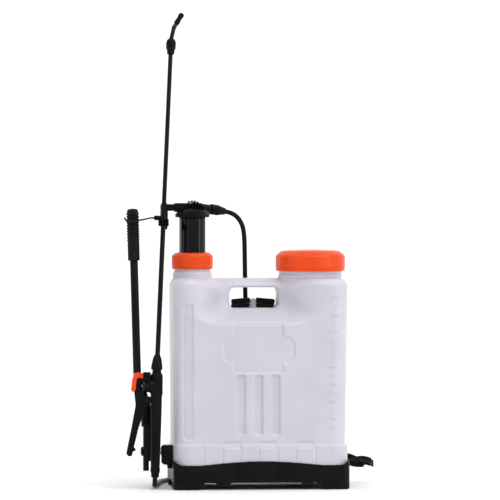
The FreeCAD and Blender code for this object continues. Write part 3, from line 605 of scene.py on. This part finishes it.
def tank_body(solid):
    x, y, z = solid.x, solid.y, solid.z
    drop = np.clip((360 - z) / 270, 0, 1)
    band = fade(z - BAND_TOP, 3.5)
    right = 165 - 4.6 * drop * (1 - band)
    left = 165 - 1.6 * drop * (1 - band)
    front = 88 - 2.0 * drop * (1 - band)
    corner = 32
    across = np.where(x > 0, x - right, -x - left) + corner
    along = np.abs(y) - front + corner
    around = np.hypot(np.maximum(across, 0), np.maximum(along, 0)) + np.minimum(np.maximum(across, along), 0)
    around = around - corner
    rise = z - SHOULDER
    rim = 15.0
    outside = np.hypot(np.maximum(around + rim, 0), np.maximum(rise + rim, 0))
    body = outside + np.minimum(np.maximum(around + rim, rise + rim), 0) - rim
    return np.maximum(body, 31 - z)


def valley(solid, side):
    """The hollow in front of or behind the handle: a sloping floor between splayed walls."""
    x, z = solid.x, solid.z
    out = solid.y * side
    share = np.clip((out - HANDLE_HALF) / 60, 0, 1.3)
    floor = VALLEY_FLOOR - (VALLEY_FLOOR - VALLEY_LIP) * share - z
    walls = np.maximum(-70 - 42 * share - x, x - 37 - 52 * share) * 0.75
    region = soft_most(soft_most(floor, walls, 26), HANDLE_HALF - out, 9)
    return region


def front_relief(solid):
    """Channel, plate, grooves and band panels pressed into the front."""
    x, z = solid.x, solid.z
    front = (solid.y < 0) * 1.0
    channel = np.minimum(flat_box(x, z, (-148, 102), (-130, 348), 2), np.hypot(x + 139, z - 102) - 9)
    solid.press(fade(channel, 3.5) * front, 3.2)
    lobe = flat_polygon(x, z, [(-73, 249), (-61, 237), (51, 237), (63, 249), (63, 277), (51, 289), (-61, 289),
                               (-73, 277)])
    plate = np.minimum(flat_box(x, z, (-55, 220), (41, 313), 4), lobe)
    solid.press(fade(plate, 2.4) * front, 2.6)
    for middle in (-38.8, -6.3, 26.2):
        groove = flat_box(x, z, (middle - 8, 104), (middle + 8, 215), 3)
        solid.press(fade(groove, 4.0) * front, 4.8)
    for number, place in enumerate((-109.6, -73.7, -39.8, -5.8, 30.0, 64.0, 101.7)):
        line = flat_box(x, z, (place - 1.6, 20), (place + 1.6, BAND_TOP - 1), 1)
        solid.press(fade(line, 2.4) * front, 1.7)
        if number % 2:
            panel = flat_box(x, z, (place + 1, BAND_TOP - 6), (place + 33, BAND_TOP + 6), 1)
            solid.press(fade(panel, 2.5) * front, 1.6)


def back_relief(solid):
    """A hollow for the wearer's back, with two stiffening ribs left standing in it."""
    back = (solid.y > 0) * 1.0
    hollow = fade(flat_box(solid.x, solid.z, (-118, 104), (118, 296), 30), 16)
    for middle in (-48, 48):
        hollow = hollow * (1 - fade(flat_box(solid.x, solid.z, (middle - 7, 90), (middle + 7, 310), 6), 7))
    solid.press(hollow * back, 3.4)


def parting_line(solid):
    """The thin ridge where the two halves of the blow mould met."""
    ridge = fade(np.abs(solid.y) - 0.9, 2.2)
    ends = fade(164 - np.abs(solid.x), 8)
    solid.press(ridge * ends, -0.9)


def make_tank():
    solid = Solid((-171, -93, 27), (171, 93, 442), TANK_STEP)
    x, y, z = solid.x, solid.y, solid.z
    solid.join(tank_body(solid))
    edge = 5 + 26 * fade(326 - z, 30)
    for side in (-1, 1):
        solid.cut(valley(solid, side), edge)
    front_relief(solid)
    back_relief(solid)
    parting_line(solid)
    window = flat_box(x, z, (-56, 340), (36, 379), 10)
    solid.cut(window + 0 * y, 6)
    fill_foot = SHOULDER - 10
    solid.join(solid.bar((FILL_X, 0, fill_foot), (FILL_X, 0, 410), 58.5, 1), 3)
    solid.join(solid.bar((FILL_X, 0, 399), (FILL_X, 0, 402.5), 61.5, 1.5), 3)
    solid.join(solid.bar((FILL_X, 0, 405), (FILL_X, 0, 438), 60, 1), 1)
    solid.cut(solid.bar((FILL_X, 0, 150), (FILL_X, 0, 460), 55), 1)
    solid.join(solid.bar((PUMP_X, 0, fill_foot), (PUMP_X, 0, 408), 37.2, 1.5), 3)
    solid.join(solid.bar((PUMP_X, 0, 404), (PUMP_X, 0, 430), 34.6, 1), 2)
    solid.join(solid.box((-13.6, 9, 333), (-2.6, 22, 357), 3), 4)
    show(solid.mesh("tank_shell"), "tank", "tank_plastic", "tank", sharp=70)


make_tank()


# ---------------------------------------------------------------- caps and base

def fluted(mesh, centre, count, depth, low, high):
    """Shallow upright grip flutes round a turned piece, between two heights."""
    for vertex in mesh.vertices:
        x, y, z = vertex.co / MM
        x, y = x - centre[0], y - centre[1]
        if low < z < high:
            radius = math.hypot(x, y)
            drop = depth * (0.5 - 0.5 * math.cos(count * math.atan2(y, x))) ** 3
            edge = min(1, (z - low) / 1.5, (high - z) / 1.5)
            shrink = (radius - drop * edge) / max(radius, 1)
            vertex.co = Vector((centre[0] + x * shrink, centre[1] + y * shrink, z)) * MM


def rising(radius, low, high, count):
    """Rows of a plain turned wall, close enough together to carry flutes."""
    return [(radius, low + (high - low) * number / count) for number in range(count + 1)]


def make_caps():
    low, high = box_mm("fill_cap")
    radius, foot, top = (high[0] - low[0]) / 2, low[2], high[2]
    profile = [(radius - 5, foot + 28), (radius - 5, foot), (radius - 1, foot), (radius, foot + 1.2)]
    profile += [(radius, foot + 4), (radius - 0.8, foot + 4.6), (radius - 0.8, foot + 5.8),
                (radius, foot + 6.4)]
    profile += rising(radius, foot + 7, top - 13.5, 12)
    profile += [(radius - 0.6, top - 11.5), (radius - 3, top - 8.5), (radius - 9.5, top - 3.2),
                (radius - 12, top - 2), (radius - 17, top - 1.6), (radius - 17.6, top - 2.2),
                (radius - 20, top - 2.2), (radius - 20.6, top - 1.3), (18, top - 0.2), (17, top - 1),
                (15, top - 1), (14, top - 0.1), (0, top)]
    profile += [(0, top - 7), (radius - 5, top - 7)]
    cap = lathe("fill_cap_moulding", profile, (FILL_X, 0), 288)
    fluted(cap, (FILL_X, 0), 48, 0.35, foot + 7, top - 13.5)
    soften(show(cap, "fill_cap", "orange_plastic", "fill_cap", sharp=50), 0.5, 2, 28)
    low, high = box_mm("pump_ring_nut")
    radius, foot, top = (high[0] - low[0]) / 2, low[2], high[2]
    profile = [(36, top - 9), (36, foot), (radius - 1, foot), (radius, foot + 1.2), (radius, foot + 3),
               (radius - 0.7, foot + 3.6), (radius - 0.7, foot + 4.6), (radius, foot + 5.2)]
    profile += rising(radius, foot + 5.6, top - 7.5, 10)
    profile += [(radius - 0.8, top - 5.5), (radius - 5.2, top - 1.2), (radius - 7, top - 0.4), (28.2, top),
                (28.2, top - 9)]
    nut = lathe("ring_nut_moulding", profile, (PUMP_X, 0), 216)
    fluted(nut, (PUMP_X, 0), 30, 0.45, foot + 5.6, top - 7.5)
    soften(show(nut, "tank", "orange_plastic", "pump_ring_nut", sharp=50), 0.4, 2, 28)


BASE_STEP = 1.6


def base_crest(x):
    """Height of the base's rim along its front: low by the ends, high in the middle and corners."""
    middle = 46.0 + 7.5 * np.clip(1 - (np.abs(x) / 118) ** 2, 0, 1) ** 1.3
    corner = np.clip((np.abs(x) - 148) / 20, 0, 1) ** 2
    return middle + 10.0 * corner


def make_base():
    """The black tray under the tank: four feet, floor pads, ribs beneath and a crest along its rim."""
    solid = Solid((-171, -94, -3), (171, 94, 61), BASE_STEP)
    x, y, z = solid.x, solid.y, solid.z
    outer = flat_box(x, y, (-167, -91.5), (167, 91.5), 14)
    walls = np.hypot(np.maximum(outer + 2.5, 0), np.maximum(2.5 - z, 0)) - 2.5
    walls = walls + np.minimum(np.maximum(outer + 2.5, 2.5 - z), 0)
    solid.join(soft_most(walls, z - base_crest(x), 2.5))
    solid.cut(soft_most(flat_box(x, y, (-165.2, -88.2), (165.2, 88.2), 32.2), 31 - z, 1), 0.8)
    for across, half, reach in ((x, 119, y), (y, 42, x)):
        corners = [(-half, -9), (half, -9), (half, 0), (half - 11, 12.5), (-half + 11, 12.5), (-half, 0)]
        solid.cut(flat_polygon(across + 0 * reach, z, corners), 1.5)
    for left, right in ((-86, -59), (76, 97)):
        for side in (-1, 1):
            solid.join(solid.box((left, side * 89 - 3, 8.6), (right, side * 89 + 3, 16), 1.2), 0.8)
    belly = solid.box((-159, -82, -9), (159, 82, 26), 4)
    for side in (-1, 1):
        for end in (-1, 1):
            belly = np.maximum(belly, -solid.box((side * 147 - 20, end * 70 - 20, -20),
                                                 (side * 147 + 20, end * 70 + 20, 40), 6))
    for rib in (-90, -30, 30, 90):
        belly = np.maximum(belly, -solid.box((rib - 2, -90, 13), (rib + 2, 90, 40), 0.5))
    solid.cut(belly, 1)
    line = fade(np.abs(z - 17.5) - 0.5, 2) * fade(-outer - 1.5, 1)
    solid.press(line, 0.7)
    show(solid.mesh("base_moulding", 1), "tank", "black_plastic", "base", sharp=60)
    make_bracket()
    lugs = [cuboid((side * 146 - 4, 90.5, 28), (side * 146 + 4, 100, 42)) for side in (-1, 1)]
    soften(show(joined("strap_lugs", lugs), "tank", "black_plastic"), 1.5, 3)


PIVOT_Y, PIVOT_Z = -33, 70


def make_bracket():
    """The bearing block for the lever's shaft, ribbed on its outer face, with a boss round the shaft."""
    solid = Solid((-189, -50, 36), (-163, -14, 86), 0.9)
    solid.join(solid.box((-184, -47, 45), (-164, -17, 82), 3))
    solid.join(solid.box((-175, -44, 38), (-164, -20, 50), 2), 3)
    for number in range(5):
        fin = -45.2 + 6 * number
        solid.join(solid.box((-185.6, fin, 47), (-180, fin + 2.2, 80), 0.9), 0.8)
    solid.join(solid.bar((-187, PIVOT_Y, PIVOT_Z), (-180, PIVOT_Y, PIVOT_Z), 9.5, 0.8), 1)
    solid.cut(solid.bar((-192, PIVOT_Y, PIVOT_Z), (-150, PIVOT_Y, PIVOT_Z), 6.1), 0.5)
    show(solid.mesh("lever_bracket", 1), "tank", "black_plastic", sharp=60)


make_caps()
make_base()


# ---------------------------------------------------------------- gun, trigger and lock

def in_gun(mesh):
    mesh.transform(GUN)
    return mesh


GUN_STEP = 0.7


VALVE_Z = -44


def make_gun():
    """The gun's ribbed collar and fluted handle, its valve stub, the trigger's lug and the lock's cheeks."""
    solid = Solid((-28, -14, -218), (14, 14, 2), GUN_STEP)
    x, y, z = solid.x, solid.y, solid.z
    turn = np.arctan2(y, x)
    grip = solid.spindle([
        (6.4, -216), (7.4, -214), (7.8, -200), (8.6, -193), (8.9, -186), (9.3, -160), (10.2, -110),
        (10.7, -64), (10.9, -60), (12.2, -57), (12.2, -55), (11.6, -53), (11.6, -26), (11.0, -22),
        (8.7, -19), (8.3, -15), (8.3, 0)])
    solid.join(grip)
    collar = fade(np.abs(z + 40) - 12, 2)
    solid.press(collar * (0.5 - 0.5 * np.cos(18 * turn)) ** 2, 0.9)
    handle = fade(np.abs(z + 124) - 54, 4)
    solid.press(handle * (0.5 - 0.5 * np.cos(8 * turn)) ** 3, 0.9)
    solid.join(solid.bar((-22.8, 0, VALVE_Z), (-3, 0, VALVE_Z), 12, 1), 1.5)
    knurl = (0.5 - 0.5 * np.cos(22 * np.arctan2(z - VALVE_Z, y))) ** 2
    solid.press(knurl * fade(np.abs(x + 17.5) - 4, 1.2) * fade(np.hypot(y, z - VALVE_Z) - 14, 2), 0.8)
    solid.join(solid.box((-25, -8.5, -76.5), (-6, 8.5, -63.5), 3), 1.5)
    solid.cut(solid.box((-30, -4.9, -80), (-12, 4.9, -60), 0.3))
    for near, far in ((-11.4, -8.7), (8.7, 11.4)):
        solid.join(solid.box((-26, near, -36), (-12, far, -18), 1), 0.8)
    solid.join(solid.box((-22.9, -4.8, -34), (-12, 4.8, -23), 1), 0.6)
    show(in_gun(solid.mesh("gun_moulding", 1)), "gun", "black_plastic", "gun_body", sharp=60)


TRIGGER_OUTLINE = [
    (-28.5, -34), (-33, -31), (-38, -32), (-41, -37), (-42, -56), (-39, -80), (-46, -124), (-55, -172),
    (-51, -177), (-44.5, -176.5), (-42.5, -168), (-37.5, -166), (-37.5, -163), (-41, -160), (-33, -124),
    (-24, -97), (-15, -78), (-13.5, -71), (-17, -65), (-24, -62), (-28.5, -57)]
LOCK_OUTLINE = [
    (-16, -27), (-17.5, -23), (-36, -18.5), (-42, -21), (-45.5, -29), (-48, -50), (-46, -55), (-42, -55),
    (-39.5, -50), (-38.5, -33), (-35, -28.5), (-28, -30), (-23, -30.6), (-17.5, -31)]


def make_trigger():
    solid = Solid((-58, -7, -180), (-10, 7, -27), GUN_STEP)
    outline = flat_polygon(solid.x, solid.z, TRIGGER_OUTLINE) + 0 * solid.y
    solid.join(solid.plate(outline, -4.4, 4.4, 1.4))
    web = fade(outline + 3.2, 1.4)
    solid.press(web * fade(solid.z + 84, 4) * fade(4.6 - np.abs(solid.y), 2.5), 1.3)
    ridges = (0.5 + 0.5 * np.cos(solid.z * 2 * math.pi / 7)) ** 3 * fade(np.abs(solid.z + 128) - 34, 3)
    solid.press(ridges * fade(np.abs(outline + 0.4) - 1.6, 1.2), -0.5)
    solid.cut(solid.box((-50, -2.6, -48), (-20, 2.6, -35.5), 0.3))
    show(in_gun(solid.mesh("trigger_moulding", 1)), "trigger", "black_plastic", "trigger", sharp=60)


def make_lock():
    solid = Solid((-51, -10, -58), (-13, 10, -15), 0.8)
    outline = flat_polygon(solid.x, solid.z, LOCK_OUTLINE) + 0 * solid.y
    solid.join(solid.plate(outline, -8.5, 8.5, 1.4))
    solid.cut(solid.box((-54, -5.3, -79), (-28, 5.3, -28.6), 0.5), 0.6)
    solid.cut(solid.box((-28.5, -5.3, -36), (-10, 5.3, -20), 0.5), 0.6)
    ribs = (0.5 + 0.5 * np.cos(solid.x * 2 * math.pi / 3.4)) ** 2
    ribs = ribs * fade(-solid.z - 26, 2) * fade(solid.x + 24, 2)
    solid.press(ribs * fade(np.abs(outline + 0.2) - 1.4, 1), -0.45)
    show(in_gun(solid.mesh("lock_moulding", 1)), "lock", "orange_plastic", "trigger_lock", sharp=60)


make_gun()
make_trigger()
make_lock()


# ---------------------------------------------------------------- tank's litre marks

LITRES = 16
LITRE_STEP = 16.4


def make_marks():
    """Sixteen raised litre dashes near the right front corner, every fourth one longer."""
    meshes = []
    corner_x, corner_y, corner = 133.0, -56.0, 32.0
    for litre in range(1, LITRES + 1):
        height = 99.5 + LITRE_STEP * litre
        length = 20 if litre % 4 == 0 else 15
        drop = min(1, max(0, (360 - height) / 270))
        rows = []
        for step in range(9):
            x = 147 - length + length * step / 8 - 4.2 * drop
            over = max(0.0, x + 4.6 * drop - corner_x)
            y = corner_y - math.sqrt(corner ** 2 - over ** 2) + 2.0 * drop
            lift = 1.0 if 0 < step < 8 else -0.6
            for up, out in ((-0.95, -0.7), (-0.6, lift), (0.6, lift), (0.95, -0.7)):
                rows.append((x, y - out, height + up))
        faces = [(4 * step + side, 4 * step + side + 1, 4 * step + side + 5, 4 * step + side + 4)
                 for step in range(8) for side in range(3)]
        meshes.append(mesh_of("dash", rows, faces))
    show(joined("litre_marks", meshes), "tank", "tank_plastic", sharp=80)


make_marks()


# ---------------------------------------------------------------- harness

def ribbon(name, path, width, thickness, across=(1, 0, 0)):
    """A flat strap along a smooth line, its long edges rounded, with UVs in metres."""
    half, edge = width / 2, thickness / 2
    section = [(-half, 0), (-half + edge * 0.5, -edge), (half - edge * 0.5, -edge), (half, 0),
               (half - edge * 0.5, edge), (-half + edge * 0.5, edge)]
    points, marks = [], []
    run = 0.0
    before = path[0]
    sides = across if callable(across) else (lambda share: Vector(across))
    for number, spot in enumerate(path):
        way = (path[min(number + 1, len(path) - 1)] - path[max(number - 1, 0)]).normalized()
        side = sides(number / (len(path) - 1))
        side = (side - way * side.dot(way)).normalized()
        rise = side.cross(way)
        run += (spot - before).length
        before = spot
        for out, up in section:
            points.append(spot + side * out + rise * up)
            marks.append(((out + half) * MM, run * MM))
    count = len(section)
    faces = [(row + corner, row + (corner + 1) % count,
              row + count + (corner + 1) % count, row + count + corner)
             for row in range(0, count * (len(path) - 1), count) for corner in range(count)]
    faces += [tuple(reversed(range(count))), tuple(range(len(points) - count, len(points)))]
    mesh = mesh_of(name, points, faces)
    layer = mesh.uv_layers.new(name="UVMap")
    for loop in mesh.loops:
        layer.data[loop.index].uv = marks[loop.vertex_index]
    return mesh


def puffed(item, most):
    """Blow a padded piece up as cloth under pressure, moving no point further than most."""
    scene = bpy.context.scene
    coarse = item.modifiers.new("remesh", "REMESH")
    coarse.mode = "VOXEL"
    coarse.voxel_size = 5 * MM
    deps = bpy.context.evaluated_depsgraph_get()
    item.data = bpy.data.meshes.new_from_object(item.evaluated_get(deps))
    item.modifiers.clear()
    rest = [vertex.co.copy() for vertex in item.data.vertices]
    cloth = item.modifiers.new("cloth", "CLOTH")
    cloth.settings.use_pressure = True
    cloth.settings.uniform_pressure_force = 4
    cloth.settings.effector_weights.gravity = 0
    cloth.point_cache.frame_start = 1
    cloth.point_cache.frame_end = 20
    for number in range(1, 21):
        scene.frame_set(number)
    deps = bpy.context.evaluated_depsgraph_get()
    item.data = bpy.data.meshes.new_from_object(item.evaluated_get(deps))
    item.modifiers.clear()
    scene.frame_set(1)
    for vertex, home in zip(item.data.vertices, rest):
        move = vertex.co - home
        if move.length > most * MM:
            vertex.co = home + move.normalized() * most * MM


PIN = Vector((0, 16, 352))
STRAPS = [(-1, "left", -13.9), (1, "right", -2.3)]
STRAP_WIDTH = 35.0
PAD_Y = 97
PAD_TOP = 290
PAD_SEAM = 270
PAD_SPLAY = 60.0


def make_pad(side, name, middle):
    """A shoulder pad that splays outwards and widens going down, with one sewn seam and a bound edge."""
    solid = Solid((-130, 88, 140), (130, 108, 300), 2.0)
    lean = side * PAD_SPLAY
    slant = middle + lean * (PAD_TOP - solid.z) / 138
    half = 19.5 + 5.5 * (PAD_TOP - solid.z) / 138
    outline = np.maximum(np.abs(solid.x - slant) - half, np.abs(solid.z - 221) - 67)
    solid.join(solid.plate(outline + 0 * solid.y, 92.6, 101.4, 3.5))
    pad = show(solid.mesh(f"pad_{name}", 1), None, "pad_fabric", sharp=180)
    puffed(pad, 5)
    for vertex in pad.data.vertices:
        _, y, z = vertex.co / MM
        pull = math.exp(-((z - PAD_SEAM) / 3.2) ** 2)
        vertex.co.y = (PAD_Y + (y - PAD_Y) * (1 - 0.55 * pull)) * MM
    pad.data.shade_smooth()
    pad.data.materials.clear()
    pad.data.materials.append(LOOKS["pad_fabric"])
    smooth = pad.modifiers.new("smooth", "SUBSURF")
    smooth.levels = smooth.render_levels = 1
    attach(pad, "tank")
    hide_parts(f"shoulder_pad_{name}")
    edge_low, edge_high = [], []
    for share in np.linspace(0, 1, 24):
        z = 288 - 134 * share
        centre = middle + lean * (PAD_TOP - z) / 138
        edge_low.append(Vector((centre - (20.5 + 5.5 * share), PAD_Y, z)))
        edge_high.append(Vector((centre + (20.5 + 5.5 * share), PAD_Y, z)))
    loop = edge_low + edge_high[::-1] + edge_low[:1]
    show(tube_mesh(f"pad_binding_{name}", loop, 2.2, 10), "tank", "webbing")


def make_roll(side, middle):
    """The strap's turn round its pin, narrowing and tilting slightly towards its ends."""
    wrap = [PIN + Vector((middle, 6.2 * math.cos(turn), 6.2 * math.sin(turn)))
            for turn in np.linspace(math.radians(-60), math.radians(250), 40)]
    roll = ribbon("wrap", wrap, STRAP_WIDTH, 4.2)
    for vertex in roll.vertices:
        along = (vertex.co.x / MM - middle) / (STRAP_WIDTH / 2)
        squeeze = 1 - 0.30 * max(0, abs(along) - 0.55) / 0.45
        vertex.co.z = (PIN.z + (vertex.co.z / MM - PIN.z) * squeeze - side * along * 1.5 - 0.6) * MM
        vertex.co.y = (PIN.y + (vertex.co.y / MM - PIN.y) * squeeze) * MM
    return roll


def make_loop(side, name, middle):
    """The strap's loop round the pin and its two layers, draped down to the pad and stitched there."""
    drape = [(0, 21, 346.2), (0, 30, 344), (0, 60, 331), (0, 86, 320), (0, 95.5, 312), (0, 95.5, 298),
             (0, 95, 286)]
    under = [(0, 13.6, 345.8), (0, 24, 341), (0, 56, 327), (0, 84, 315), (0, 92.4, 308), (0, 92.6, 298),
             (0, 93, 286)]
    parts = [make_roll(side, middle)]
    for layer, route in (("drape", drape), ("under", under)):
        line = [spot + Vector((middle, 0, 0)) for spot in smooth_line(route)]
        parts.append(ribbon(layer, line, STRAP_WIDTH, 2.0))
    show(joined(f"strap_loop_{name}", parts), "tank", "webbing", f"strap_top_{name}", sharp=60)


def make_strap(side, name, middle):
    make_loop(side, name, middle)
    low = middle + side * PAD_SPLAY * 1.05
    foot = side * 146.0
    path = smooth_line([
        (low - 1 * side, 97, 160), (low, 100.5, 146), (low + 2 * side, 100.6, 132),
        (low + (foot - low) * 0.35, 98, 100), (low + (foot - low) * 0.75, 99, 66), (foot, 97.5, 44),
        (foot, 97.2, 40)])
    web = ribbon(f"strap_lower_{name}", path, 30, 1.8)
    show(web, "tank", "webbing", f"strap_web_{name}", sharp=60)
    stitch = [cuboid((middle + across - 0.5, 95.9, z - 2.2), (middle + across + 0.5, 97.1, z + 2.2))
              for z in range(292, 310, 6) for across in (-14, -7, 0, 7, 14)]
    show(joined(f"stitches_{name}", stitch), "tank", "webbing")


def make_tail():
    """The loose end of a lower strap, twisted and folded back on itself at the right."""
    folds = [
        ([(170, 91, 48), (180, 88, 47), (192, 85, 44), (204, 84, 41), (216, 87, 40), (225, 89, 38),
          (231, 90, 36)], 20, 70, 150),
        ([(170, 94, 45), (182, 92, 42), (194, 91, 41), (206, 91, 39), (216, 92, 37), (223, 91, 40)],
         18, 110, -110),
        ([(226, 88, 39), (216, 83, 43), (205, 81, 45), (193, 82, 44), (181, 85, 42)], 16, 80, 70),
        ([(173, 90, 41), (186, 86, 38), (199, 87, 36), (212, 86, 37)], 14, 150, -70)]
    ribbons = []
    for number, (route, width, start, turn) in enumerate(folds):
        def lie(share, start=start, turn=turn):
            angle = math.radians(start + turn * share)
            return Vector((0, math.cos(angle), math.sin(angle)))
        ribbons.append(ribbon(f"fold_{number}", smooth_line(route), width, 2.4, lie))
    show(joined("strap_end", ribbons), "tank", "webbing", "strap_tail", sharp=60)
    bars = []
    for start, low, high in ((181, 32, 55), (207, 30, 50)):
        for bottom in (low, high - 3):
            bars.append(cuboid((start, 79, bottom), (start + 3.5, 97, bottom + 3)))
        for near in (79, 94):
            bars.append(cuboid((start, near, low), (start + 3.5, near + 3, high)))
    soften(show(joined("strap_slider", bars), "tank", "black_plastic"), 0.8, 3)


for strap_side, strap_name, strap_inner in STRAPS:
    strap_middle = strap_inner + strap_side * STRAP_WIDTH / 2
    make_pad(strap_side, strap_name, strap_middle)
    make_strap(strap_side, strap_name, strap_middle)
make_tail()


# ---------------------------------------------------------------- floor, light and finish

def make_floor():
    reach, level = 9000, -0.4
    mesh = mesh_of("floor", [(-reach, -reach, level), (reach, -reach, level), (reach, reach, level),
                             (-reach, reach, level)], [(0, 1, 2, 3)])
    look = Surface("pale_floor", (0.9, 0.9, 0.9), 0.9)
    look.tint(look.noise(3, 2), (0.89, 0.89, 0.895), (0.91, 0.91, 0.912))
    mesh.materials.append(look.material)
    floor = bpy.data.objects.new("floor", mesh)
    bpy.context.scene.collection.objects.link(floor)


def area_light(name, place, size, power):
    data = bpy.data.lights.new(name, "AREA")
    data.shape = "RECTANGLE"
    data.size, data.size_y = size
    data.energy = power
    light = bpy.data.objects.new(name, data)
    bpy.context.scene.collection.objects.link(light)
    light.location = place
    light.rotation_mode = "QUATERNION"
    light.rotation_quaternion = (Vector((-0.03, 0, 0.35)) - Vector(place)).to_track_quat("-Z", "Y")


def make_world():
    """A pale studio that is brightest overhead and behind the object, and dimmer on the camera's side."""
    world = bpy.data.worlds.new("studio")
    world.use_nodes = True
    tree = world.node_tree
    place = tree.nodes.new("ShaderNodeTexCoord")
    facing = tree.nodes.new("ShaderNodeVectorMath")
    facing.operation = "DOT_PRODUCT"
    facing.inputs[1].default_value = (0, 0.72, 0.69)
    band = tree.nodes.new("ShaderNodeValToRGB")
    reach = tree.nodes.new("ShaderNodeMapRange")
    tree.links.new(place.outputs["Generated"], facing.inputs[0])
    tree.links.new(facing.outputs["Value"], reach.inputs["Value"])
    reach.inputs["From Min"].default_value = -1
    reach.inputs["From Max"].default_value = 1
    tree.links.new(reach.outputs["Result"], band.inputs["Fac"])
    band.color_ramp.elements[0].position = 0.16
    band.color_ramp.elements[0].color = (0.26, 0.26, 0.27, 1)
    band.color_ramp.elements[1].position = 0.80
    band.color_ramp.elements[1].color = (1.12, 1.12, 1.12, 1)
    tree.links.new(band.outputs["Color"], tree.nodes["Background"].inputs["Color"])
    tree.nodes["Background"].inputs["Strength"].default_value = 1.0
    bpy.context.scene.world = world


def make_light():
    make_world()
    data = bpy.data.lights.new("sun", "SUN")
    data.energy = 1.15
    data.angle = math.radians(50)
    sun = bpy.data.objects.new("sun", data)
    bpy.context.scene.collection.objects.link(sun)
    sun.rotation_mode = "QUATERNION"
    sun.rotation_quaternion = Vector((-0.22, 0.62, -0.85)).to_track_quat("-Z", "Y")
    area_light("side", (1.9, -1.3, 0.9), (0.5, 1.6), 7)
    bpy.context.scene.view_settings.view_transform = "Standard"


def dress_cad_nodes():
    """Every CAD node that still shows gets its slot's look and softened edges."""
    slots = {part["node"]: part["material_slot"] for part in frame["record"]["subparts"]}
    for name, item in nodes.items():
        if item.hide_render:
            continue
        item.data.materials.clear()
        item.data.materials.append(LOOKS[slots[name]])
        item.modifiers.new("weld", "WELD").merge_threshold = 0.01 * MM
        soften(item, 0.4, 2, 35)


make_floor()
make_light()
dress_cad_nodes()
